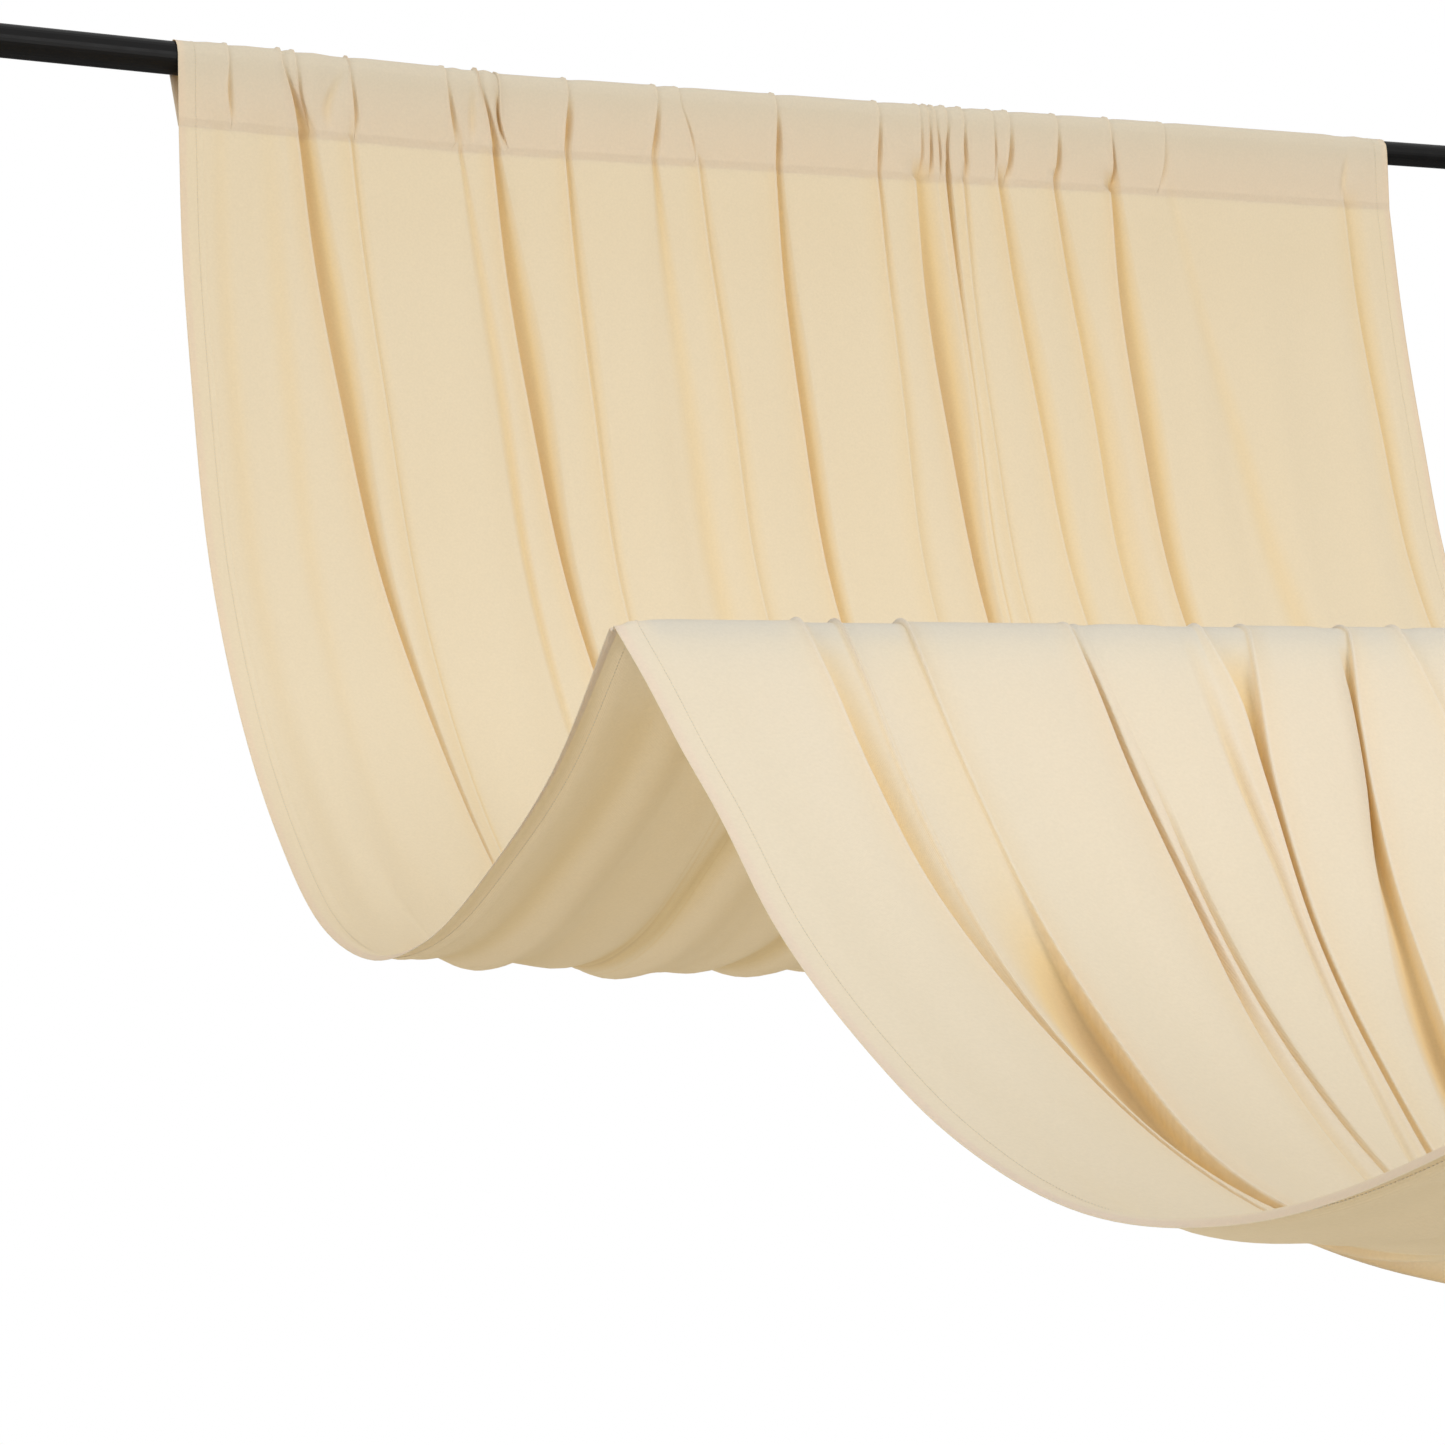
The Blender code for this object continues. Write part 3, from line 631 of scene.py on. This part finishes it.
def bay_row(bay, share, counts):
    """A row of a bay, with its swells."""
    place, wide, deep, far_edge = fold_sizes(bay, share)
    crown_fade = math.sqrt(max(math.sin(math.pi * share), 0))
    turn = along(BACK_HEM_TURN if bay is BACK else FRONT_HEM_TURN, share)
    soft = ease((share - bay.softens) / SOFTEN_OVER)
    room = np.append(place[1:], far_edge - HEM_WIDTH) - place - LEAST_PANEL
    wide = wide + np.minimum(SOFT_WIDTH, SOFT_ROOM_SHARE * room).clip(0) * soft
    wide = np.clip(wide, LEAST_FOLD, room)
    deep = deep * (1 - (1 - SOFT_DEPTH_SHARE) * soft)
    row = section_row(bay.folds, (place, wide, deep), far_edge, counts, crown_fade, turn, soft)
    swells = relief(bay, share, row.across)
    # Painted colour: the bay's painted warm tint for light through it, painted shade on its rising part,
    # and painted shade on upward swells seen from below
    hollow = row.hollow + bay.tan + soft * (bay.rising_tan + SWELL_SHADE * np.clip(swells, 0, None))
    return row._replace(height=row.height + swells, roll=row.roll * (1 - soft), hollow=hollow)


def wave(swells, share, across):
    """The height of several swells together."""
    full = 2 * math.pi
    return sum(s.high * np.sin(full * across / s.long + s.drift * share + s.first) for s in swells)


def relief(bay, share, across):
    """Broad soft swells between the folds, none at the poles or the edges, larger where it rises."""
    fade = math.sqrt(math.sin(math.pi * share)) * edge_rise(across, SWELL_EDGE)
    rising = ease((share - bay.softens) / SOFTEN_OVER - RISE_LATE)
    falling_wave, rising_wave = (wave(swells, share, across) for swells in (SWELLS, RISING_SWELLS))
    swells = fade * (falling_wave * (1 - rising) + rising_wave * rising)
    if bay is BACK:
        return swells
    past_middle = 2 * ease((share - bay.softens + SOFTEN_OVER) / SOFTEN_OVER) * (1 - share)
    return swells - BULGE_DEPTH * past_middle * np.exp(-(((across - BULGE_PLACE) / BULGE_WIDTH) ** 2))


def roll_share(from_pole):
    """How much of its height on the pole a rolled edge keeps this far from it."""
    return ROLL_ALONG + (1 - ROLL_ALONG) * math.exp(-((from_pole / ROLL_BESIDE_POLE) ** 2))


def bay_points(bay, share, across, height):
    """Points of a bay at these places across it and these heights over its smooth surface."""
    points, shares, _ = bay_outline(bay)
    near = np.clip([share - CURVE_STEP, share, share + CURVE_STEP], 0, 1)
    before, here, after = smooth_curve(shares, points, near)
    run = after - before
    normal = np.array([run[1], -run[0]]) / np.linalg.norm(run)
    sag = bay.sag * max(math.sin(math.pi * share), 0) ** SAG_POWER
    drop = here[1] + sag * edge_rise(across, bay.reach) + height * normal[1]
    lift = (1 - share) * pole_lift(across) if bay is BACK else 0.0
    if bay is FRONT:
        across = across + left_drift(share, across)
    return to_frame(across, here[0] + height * normal[0], drop, lift)


def left_drift(share, across):
    """How far the left part of the front bay swings aside."""
    return along(LEFT_EDGE_DRIFT, share) * np.clip(1 - across / DRIFT_REACH, 0, 1)


def bay_rows(bay, shares, counts):
    """Rows of points of a bay, with their places on the flat cloth and depths of painted shade."""
    rows = []
    length = bay_outline(bay)[2]
    for share in shares:
        row = bay_row(bay, share, counts)
        height = row.height + row.roll * roll_share(share * length if bay is FRONT else length)
        hollow = row.hollow
        if bay is BACK:
            settled = 1 - ease((share - JOIN_SHARE + FADE_SHARE) / FADE_SHARE)
            kept = np.where(edge_rise(row.across, HEM_WIDTH) < 1, 1.0, settled)
            height, hollow = height * kept, hollow * settled
        rows.append((bay_points(bay, share, row.across, height), row.flat, hollow))
    return rows


def crest_rows(counts):
    """Rows over the middle pole, from the end of the back bay to the start of the front one."""
    row = bay_row(FRONT, 0.0, counts)
    in_hem = row.height - relief(FRONT, 0.0, row.across)
    droop = CORNER_DROOP * np.clip(1 - row.across / HEM_WIDTH, 0, 1) ** 2
    rows = []
    length = bay_outline(BACK)[2]
    for share in CREST_SHARES:
        height = row.roll * roll_share((1 - share) * length) + in_hem
        rows.append((bay_points(BACK, share, row.across, height), row.flat, row.hollow))
    drift = left_drift(0.0, row.across)
    for step in range(1, CREST_ROW_COUNT):
        q = step / CREST_ROW_COUNT
        angle = RISE_ANGLE + (FALL_ANGLE - RISE_ANGLE) * q
        forward, drop = on_circle(MIDDLE_POLE, CREST_RADIUS + row.roll + in_hem, angle)
        drop = drop + droop * math.sin(math.pi * q)
        rows.append((to_frame(row.across + drift * q, forward, drop), row.flat, row.hollow))
    return rows


def tangent_angle(centre, radius, point, side):
    """Angle, from straight up to the front, at which a line from the point touches a circle."""
    away = (point[0] - centre[0], point[1] - centre[1])
    toward = math.atan2(away[0], -away[1])
    return toward - side * math.acos(radius / math.hypot(*away))


def pocket_path(centre, seam, inner_seam, turn, radius, count):
    """Forward, drop, outward direction and hold of the pole, from the inner end of the pocket's seam
    round the pole to the seam."""
    start = tangent_angle(centre, radius, inner_seam, -turn)
    end = tangent_angle(centre, radius, seam, turn)
    if (end - start) * turn < 0:
        end += turn * 2 * math.pi
    fine = np.linspace(0, 1, LEG_STATIONS)[:, None]
    first = np.array(on_circle(centre, radius, start))
    last = np.array(on_circle(centre, radius, end))
    leg_in = np.array(inner_seam) + (first - np.array(inner_seam)) * fine
    arc = np.column_stack(on_circle(centre, radius, start + (end - start) * fine[:, 0]))
    leg_out = last + (np.array(seam) - last) * fine
    path = np.vstack([leg_in[:-1], arc[:-1], leg_out])
    hold = np.concatenate([fine[:-1, 0], np.ones(LEG_STATIONS - 1), 1 - fine[:, 0]])
    passed = path_lengths(path)
    even = np.linspace(0, passed[-1], count)
    spots = np.column_stack([np.interp(even, passed, path[:, k]) for k in (0, 1)])
    grip = np.interp(even, passed, hold)
    run = np.gradient(spots, axis=0)
    run /= np.linalg.norm(run, axis=1)[:, None]
    outward = np.column_stack([run[:, 1], -run[:, 0]])
    return spots, outward, grip


def back_pocket_rows(bay_first):
    """Rows of the back pocket from its inner end round the pole to the seam, where they take the shape
    of the bay's first row."""
    seam, outward = np.array((SEAM_FORWARD, SEAM_BELOW_AXIS)), np.array((1.0, 0.0))
    inner = seam - outward * CLOTH_THICKNESS
    (thick, normals, holds), (thin, _, _) = (
        pocket_path((0.0, 0.0), seam, inner, 1, radius, POCKET_ROW_COUNT)
        for radius in (OUTER_RADIUS, THIN_OUTER_RADIUS)
    )
    place, wide, _ = slot_sizes(POCKET_MIDDLE)
    counts = panel_counts(place, wide, CLOTH_WIDTH)
    rows = []
    for k in range(POCKET_ROW_COUNT - 1):
        passed = 1 - holds[k]
        row = section_row(SLOTS, slot_sizes(passed), CLOTH_WIDTH, counts)
        settled = ease((passed - SETTLE_SHARE) / (1 - SETTLE_SHARE))
        height = row.height if k > POCKET_ROW_COUNT / 2 else row.height * INNER_SHARE
        at_seam = np.interp(row.across, bay_first.across, bay_first.height + bay_first.roll * ROLL_ALONG)
        height = height * (1 - settled) + at_seam * settled
        on_pole = row.roll * ease(holds[k] / BACK_GRIP)
        slim = ease((row.across - THICK_END_ON_CLOTH) / STEP_ROOM)
        spot = thick[k] + (thin[k] - thick[k]) * slim[:, None]
        opened = height * ease(passed / OPEN_SHARE)
        spot = spot + normals[k] * on_pole[:, None] + outward * opened[:, None]
        points = to_frame(row.across, spot[:, 0], spot[:, 1], pole_lift(row.across))
        # Painted shade as deep as the pocket's folds, and the back bay's painted warm tint
        rows.append((points, row.flat, np.clip(-height, 0, None) + BACK.tan))
    return rows


def front_pocket_rows(counts):
    """Rows of the front pocket from its inner end round the pole to the seam."""
    seam = np.array(front_seam())
    outward = np.array((-math.sin(PULL_ANGLE), -math.cos(PULL_ANGLE)))
    row = bay_row(FRONT, 1.0, counts)
    inner = seam - outward * CLOTH_THICKNESS
    spots, normals, holds = pocket_path(FRONT_POLE, seam, inner, -1, OUTER_RADIUS, POCKET_ROW_COUNT)
    rows = []
    for spot, normal, hold in zip(spots[:-1], normals, holds):
        on_pole = row.roll * max(ease(hold / FRONT_GRIP), ROLL_ALONG)
        height = row.height * (1 - hold) ** FRONT_FADE_POWER
        place = spot + normal * on_pole[:, None] + outward * height[:, None]
        rows.append((to_frame(row.across, place[:, 0], place[:, 1]), row.flat, row.hollow * 0))
    return rows


def cloth_rows():
    """Three runs of rows, each with its own number of columns: back pocket, back bay, the rest."""
    back_counts, front_counts = bay_counts(BACK), bay_counts(FRONT)
    back_shares = np.linspace(0, JOIN_SHARE, BACK_ROW_COUNT)
    front_shares = np.linspace(0, 1, FRONT_ROW_COUNT)
    pocket = back_pocket_rows(bay_row(BACK, 0.0, back_counts))
    back = bay_rows(BACK, back_shares, back_counts)
    front = crest_rows(front_counts) + bay_rows(FRONT, front_shares, front_counts)
    front += front_pocket_rows(front_counts)[::-1]
    return pocket, back, front


def zip_faces(first, second, first_places, second_places):
    """Triangles between two rows with different numbers of points."""
    faces = []
    i = j = 0
    while i < len(first) - 1 or j < len(second) - 1:
        step_first = j == len(second) - 1 or (
            i < len(first) - 1 and first_places[i + 1] < second_places[j + 1]
        )
        if step_first:
            faces.append((first[i], first[i + 1], second[j]))
            i += 1
        else:
            faces.append((first[i], second[j + 1], second[j]))
            j += 1
    return faces


def cloth_mesh(runs):
    """Points, faces, flat coordinates and painted-shade depths of the whole sheet."""
    points, flat, hollow, faces = [], [], [], []
    base = 0
    passed = 0.0
    last = None
    for rows in runs:
        columns = len(rows[0][0])
        for index, (spots, across, depth) in enumerate(rows):
            middle = spots[columns // 2]
            if last is not None:
                passed += float(np.linalg.norm(middle - last))
            last = middle
            points.append(spots)
            hollow.append(depth)
            flat.append(np.column_stack([across, np.full(columns, passed)]))
            start = base + index * columns
            if index:
                quads = np.arange(columns - 1) + start
                faces += [(a - columns, a - columns + 1, a + 1, a) for a in quads.tolist()]
        if base:
            ends = range(base - len(before), base)
            faces += zip_faces(ends, range(base, base + columns), before, rows[0][1])
        base += columns * len(rows)
        before = rows[-1][1]
    return np.vstack(points), faces, np.vstack(flat), np.concatenate(hollow)


def unit(vectors):
    """The same directions with a length of 1."""
    return vectors / np.linalg.norm(vectors, axis=-1, keepdims=True)


def grid_normals(grid):
    """Upward normals of a grid of rows of points."""
    return unit(np.cross(np.gradient(grid, axis=0), np.gradient(grid, axis=1)))


def hem_grid(runs, side):
    """Rows of points of the hem along one edge, from the edge inward."""
    every = (spots if side == "left" else spots[::-1] for rows in runs for spots, _, _ in rows)
    grid = np.array([spots[:HEM_STATIONS] for spots in every])
    normals = grid_normals(grid)
    return grid, normals if side == "right" else -normals


def hem_band(grid, normals):
    """Rows of points of the folded edge, from inside the hem over its top and round its rim."""
    outward = unit(grid[:, 0] - grid[:, 1])
    band = [grid[:, k] + normals[:, k] * proud for k, proud in HEM_TOP]
    band.append(grid[:, 0] + outward * HEM_RIM)
    band.append(grid[:, 0] - normals[:, 0] * HEM_UNDER)
    return np.stack(band, axis=1)


def strip_faces(count, columns):
    """Four-sided faces between neighbouring rows of points."""
    starts = (row * columns + k for row in range(count - 1) for k in range(columns - 1))
    return [(a, a + 1, a + columns + 1, a + columns) for a in starts]


def even_places(path, normals):
    """Points, directions and normals at even steps along a path, one for each stitch."""
    passed = path_lengths(path)
    steps = np.arange(STITCH_PITCH / 2, passed[-1], STITCH_PITCH)
    spots, ends, up = (
        np.column_stack([np.interp(at, passed, column) for column in table.T])
        for at, table in ((steps, path), (steps + STITCH_LENGTH / 2, path), (steps, normals))
    )
    return spots, unit(ends - spots), unit(up)


def stitch_beads(lines):
    """Points and faces of small thread beads along lines of stitching."""
    points, faces = [], []
    for path, normals in lines:
        spots, forward, up = even_places(path, normals)
        side = np.cross(forward, up)
        corners = (
            -forward * STITCH_LENGTH / 2,
            side * STITCH_WIDTH / 2,
            up * STITCH_HEIGHT,
            -side * STITCH_WIDTH / 2,
            forward * STITCH_LENGTH / 2,
        )
        beads = np.stack([spots + corner for corner in corners], axis=1)
        base = sum(len(p) for p in points)
        points.append(beads.reshape(-1, 3))
        for first in range(base, base + len(corners) * len(spots), len(corners)):
            faces += [tuple(first + k for k in face) for face in BEAD_FACES]
    return np.vstack(points), faces


def add_hems(runs, material):
    """The sewn side hems, and the stitching along them and along the seams of the pockets."""
    pieces, lines = [], []
    for side in ("left", "right"):
        grid, normals = hem_grid(runs, side)
        band = hem_band(grid, normals)
        count, columns, _ = band.shape
        flat = np.stack([path_lengths(line) for line in band.swapaxes(0, 1)], axis=1)
        flat = np.stack([np.tile(path_lengths(band[0]), (count, 1)), flat], axis=2).reshape(-1, 2)
        faces = strip_faces(count, columns)
        points = band.reshape(-1, 3)
        pieces.append(new_object(f"{side}_hem", points, faces, material, flat, flat[:, 0] * 0))
        for up in (normals[:, STITCH_STATION], -normals[:, STITCH_STATION]):
            lines.append((grid[:, STITCH_STATION] + up * SEAM_PROUD, up))
    for rows, index in ((runs[1], 0), (runs[2], -POCKET_ROW_COUNT)):
        grid = np.array([spots for spots, _, _ in rows])
        normals = -grid_normals(grid)
        lines.append((grid[index] + normals[index] * SEAM_PROUD, normals[index]))
    pieces.append(new_object("stitching", *stitch_beads(lines), thread_material()))
    return pieces


def new_object(name, points, faces, material, flat=None, hollow=None):
    """A smooth-shaded object on the root body from points and faces."""
    mesh = bpy.data.meshes.new(name)
    mesh.from_pydata([tuple(p) for p in np.asarray(points).tolist()], [], faces)
    mesh.update()
    if flat is not None:
        layer = mesh.uv_layers.new(name="cloth")
        loops = np.empty(len(mesh.loops), dtype=np.int32)
        mesh.loops.foreach_get("vertex_index", loops)
        layer.data.foreach_set("uv", np.asarray(flat)[loops].astype(np.float32).ravel())
    # The depth of the shade painted into the cloth's colour, kept for its material
    if hollow is not None:
        depth = mesh.attributes.new("painted_shade_depth", "FLOAT", "POINT")
        depth.data.foreach_set("value", np.asarray(hollow, np.float32))
    mesh.shade_smooth()
    mesh.materials.append(material)
    obj = bpy.data.objects.new(name, mesh)
    bpy.context.scene.collection.objects.link(obj)
    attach(obj, "root")
    return obj


def shader_material(name, colour, roughness):
    """A new material with its node tree and its shader."""
    material = bpy.data.materials.new(name)
    material.use_nodes = True
    shader = material.node_tree.nodes["Principled BSDF"]
    shader.inputs["Base Color"].default_value = (*colour, 1)
    shader.inputs["Roughness"].default_value = roughness
    return material, material.node_tree, shader


def linked(tree, kind, inputs=None, **settings):
    """A new node with these settings and inputs: a value is set, a socket is linked."""
    node = tree.nodes.new(kind)
    for name, value in settings.items():
        setattr(node, name, value)
    for name, value in (inputs or {}).items():
        if isinstance(value, bpy.types.NodeSocket):
            tree.links.new(value, node.inputs[name])
        else:
            node.inputs[name].default_value = value
    return node


def grown(tree, value, low, high):
    """A 0 to 1 value stretched to this range."""
    node = linked(tree, "ShaderNodeMapRange", {"Value": value, "To Min": low, "To Max": high})
    return node.outputs["Result"]


def blended(tree, factor, first, second):
    """A colour between two colours, each a value or a socket."""
    inputs = {"Factor": factor, "A": first, "B": second}
    return linked(tree, "ShaderNodeMix", inputs, data_type="RGBA").outputs["Result"]


def noise(tree, place, scale, detail):
    """A noise value at this place."""
    inputs = {"Vector": place, "Scale": scale, "Detail": detail}
    return linked(tree, "ShaderNodeTexNoise", inputs).outputs["Fac"]


def roughen(tree, shader, height, strength, distance):
    """Fine relief on a surface."""
    inputs = {"Height": height, "Strength": strength, "Distance": distance}
    bump = linked(tree, "ShaderNodeBump", inputs)
    tree.links.new(bump.outputs["Normal"], shader.inputs["Normal"])


def thread_waves(tree, flat, direction):
    """The ridges of the threads that run one way, as a value on the flat cloth."""
    pitch = WAVE_PERIOD / THREAD_PITCH
    inputs = {"Vector": flat, "Scale": pitch, "Distortion": WEAVE_DISTORTION, "Detail": 1.0}
    return linked(tree, "ShaderNodeTexWave", inputs, bands_direction=direction).outputs["Fac"]


def cloth_material(name, colour, pale_colour, through_share):
    """Matt cream stretch cloth: a fine weave, slubs and faint mottling, shade painted tan and brown into
    its folds, and some light through it, less where the painted shade is deep.
    """
    material, tree, shader = shader_material(name, colour, CLOTH_ROUGHNESS)
    place = linked(tree, "ShaderNodeTexCoord").outputs["Object"]
    flat = linked(tree, "ShaderNodeUVMap", uv_map="cloth").outputs["UV"]
    mottle = noise(tree, place, MOTTLE_SCALE, 3.0)
    grain = noise(tree, place, GRAIN_SCALE, 2.0)
    across, along_cloth = (thread_waves(tree, flat, direction) for direction in ("X", "Y"))
    weave = linked(tree, "ShaderNodeMath", {0: across, 1: along_cloth}, operation="MULTIPLY").outputs[0]
    shade = blended(tree, grown(tree, mottle, *MOTTLE_RANGE), (*colour, 1), (*pale_colour, 1))
    # Painted shade: the cloth's colour turns tan, then brown, as the painted-shade depth grows
    depth = linked(tree, "ShaderNodeAttribute", attribute_name="painted_shade_depth").outputs["Fac"]
    hollow, deep = (
        linked(tree, "ShaderNodeMapRange", {"Value": depth, "From Min": low, "From Max": high}).outputs[0]
        for low, high in ((0.0, FULL_SHADE_TAN_DEPTH), (FULL_SHADE_TAN_DEPTH, FULL_SHADE_BROWN_DEPTH))
    )
    fold = blended(tree, deep, (*PAINTED_SHADE_TAN, 1), (*PAINTED_SHADE_BROWN, 1))
    painted_shade_colour = blended(tree, hollow, shade, fold)
    value = grown(tree, grain, *GRAIN_RANGE)
    speck = linked(tree, "ShaderNodeHueSaturation", {"Color": painted_shade_colour, "Value": value})
    tree.links.new(speck.outputs["Color"], shader.inputs["Base Color"])
    shader.inputs["Sheen Weight"].default_value = SHEEN
    shader.inputs["Sheen Roughness"].default_value = SHEEN_ROUGHNESS
    raised = linked(tree, "ShaderNodeMath", {0: weave, 1: grain}, operation="ADD").outputs[0]
    roughen(tree, shader, raised, WEAVE_STRENGTH, WEAVE_HEIGHT)
    through = linked(tree, "ShaderNodeBsdfTranslucent", {"Color": (*LIGHT_THROUGH, 1)}).outputs["BSDF"]
    # Less light comes through where the painted shade is deep, darkening the folds further
    share = grown(tree, hollow, through_share, DEEP_THROUGH_SHARE)
    mix = linked(tree, "ShaderNodeMixShader", {"Fac": share, 1: shader.outputs["BSDF"], 2: through})
    tree.links.new(mix.outputs["Shader"], tree.nodes["Material Output"].inputs["Surface"])
    return material


def thread_material():
    """Matt cream sewing thread, a little deeper in colour than the cloth, with a fine twist."""
    material, tree, shader = shader_material("cream_sewing_thread", THREAD_CREAM, THREAD_ROUGHNESS)
    place = linked(tree, "ShaderNodeTexCoord").outputs["Object"]
    colour = blended(tree, noise(tree, place, TWIST_SCALE, 1.0), (*THREAD_CREAM, 1), (*CREAM, 1))
    tree.links.new(colour, shader.inputs["Base Color"])
    return material


def paint_material():
    """Satin black paint on a steel tube, a little uneven."""
    material, tree, shader = shader_material("black_pole_finish", BLACK, PAINT_ROUGHNESS[0])
    place = linked(tree, "ShaderNodeTexCoord").outputs["Object"]
    uneven = noise(tree, place, PAINT_SCALE, 4.0)
    tree.links.new(grown(tree, uneven, *PAINT_ROUGHNESS), shader.inputs["Roughness"])
    tree.links.new(blended(tree, uneven, (*BLACK, 1), (*PALE_BLACK, 1)), shader.inputs["Base Color"])
    shader.inputs["Specular IOR Level"].default_value = PAINT_GLOSS
    roughen(tree, shader, noise(tree, place, PEEL_SCALE, 1.0), PEEL_STRENGTH, PEEL_HEIGHT)
    return material


def light(name, place, aim, size, power):
    """A round soft lamp at this place."""
    data = bpy.data.lights.new(name, "AREA")
    data.shape = "DISK"
    data.size = size
    data.energy = power
    obj = bpy.data.objects.new(name, data)
    obj.location = place
    obj.rotation_euler = (Vector(aim) - Vector(place)).to_track_quat("-Z", "Y").to_euler()
    bpy.context.scene.collection.objects.link(obj)


def white_room():
    """Soft even light from all round, on a background that shows pure white."""
    world = bpy.data.worlds.new("white_room")
    world.use_nodes = True
    tree = world.node_tree
    toward = linked(tree, "ShaderNodeTexCoord").outputs["Generated"]
    height = linked(tree, "ShaderNodeSeparateXYZ", {"Vector": toward}).outputs["Z"]
    low, high = ROOM_HEIGHTS
    inputs = {"Value": height, "From Min": low, "From Max": high}
    inputs.update({"To Min": ROOM_BELOW, "To Max": ROOM_ABOVE})
    room = linked(tree, "ShaderNodeMapRange", inputs).outputs["Result"]
    seen = linked(tree, "ShaderNodeLightPath").outputs["Is Camera Ray"]
    strength = linked(tree, "ShaderNodeMix", {"Factor": seen, "A": room, "B": 1.0}).outputs["Result"]
    tree.nodes["Background"].inputs["Color"].default_value = (1, 1, 1, 1)
    tree.links.new(strength, tree.nodes["Background"].inputs["Strength"])
    return world


def add_floor():
    """A plain pale round floor, apart from the object."""
    builder = bmesh.new()
    bmesh.ops.create_circle(builder, cap_ends=True, segments=FLOOR_SIDES, radius=FLOOR_RADIUS)
    mesh = bpy.data.meshes.new("floor")
    builder.to_mesh(mesh)
    builder.free()
    floor_paint, _, _ = shader_material("pale_floor", FLOOR_GREY, FLOOR_ROUGHNESS)
    mesh.materials.append(floor_paint)
    floor = bpy.data.objects.new("floor", mesh)
    floor.location = FLOOR_PLACE
    bpy.context.scene.collection.objects.link(floor)


def add_camera():
    """A camera at the left of the front, a little below the cloth's middle."""
    data = bpy.data.cameras.new("camera")
    data.lens = LENS
    data.sensor_width = SENSOR
    data.clip_end = CAMERA_REACH
    camera = bpy.data.objects.new("camera", data)
    camera.location = CAMERA_PLACE
    level = math.cos(CAMERA_PITCH)
    toward = (math.sin(CAMERA_TURN) * level, math.cos(CAMERA_TURN) * level, math.sin(CAMERA_PITCH))
    camera.rotation_euler = Vector(toward).to_track_quat("-Z", "Y").to_euler()
    bpy.context.scene.collection.objects.link(camera)
    bpy.context.scene.camera = camera


def studio():
    """Lights, floor and camera."""
    scene = bpy.context.scene
    scene.view_settings.view_transform = "Standard"
    scene.world = white_room()
    light("key", KEY_PLACE, MIDDLE, KEY_SIZE, KEY_POWER)
    light("fill", FILL_PLACE, MIDDLE, FILL_SIZE, FILL_POWER)
    add_floor()
    add_camera()


def main():
    """The studio, the cloth with its hems and stitching, and the poles' paint; the model's curtain panel is
    hidden.
    """
    studio()
    cloth = cloth_material("cream_stretch_cloth", CREAM, PALE_CREAM, THROUGH_SHARE)
    doubled = cloth_material("cream_doubled_cloth", HEM_CREAM, HEM_PALE_CREAM, HEM_THROUGH_SHARE)
    runs = cloth_rows()
    points, faces, flat, hollow = cloth_mesh(runs)
    sheet = new_object("draped_cloth", points, faces, cloth, flat, hollow)
    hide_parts("curtain_panel")
    hems = add_hems(runs, doubled)
    paint = paint_material()
    for name in POLES:
        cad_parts[name].material_slots[0].material = paint


main()
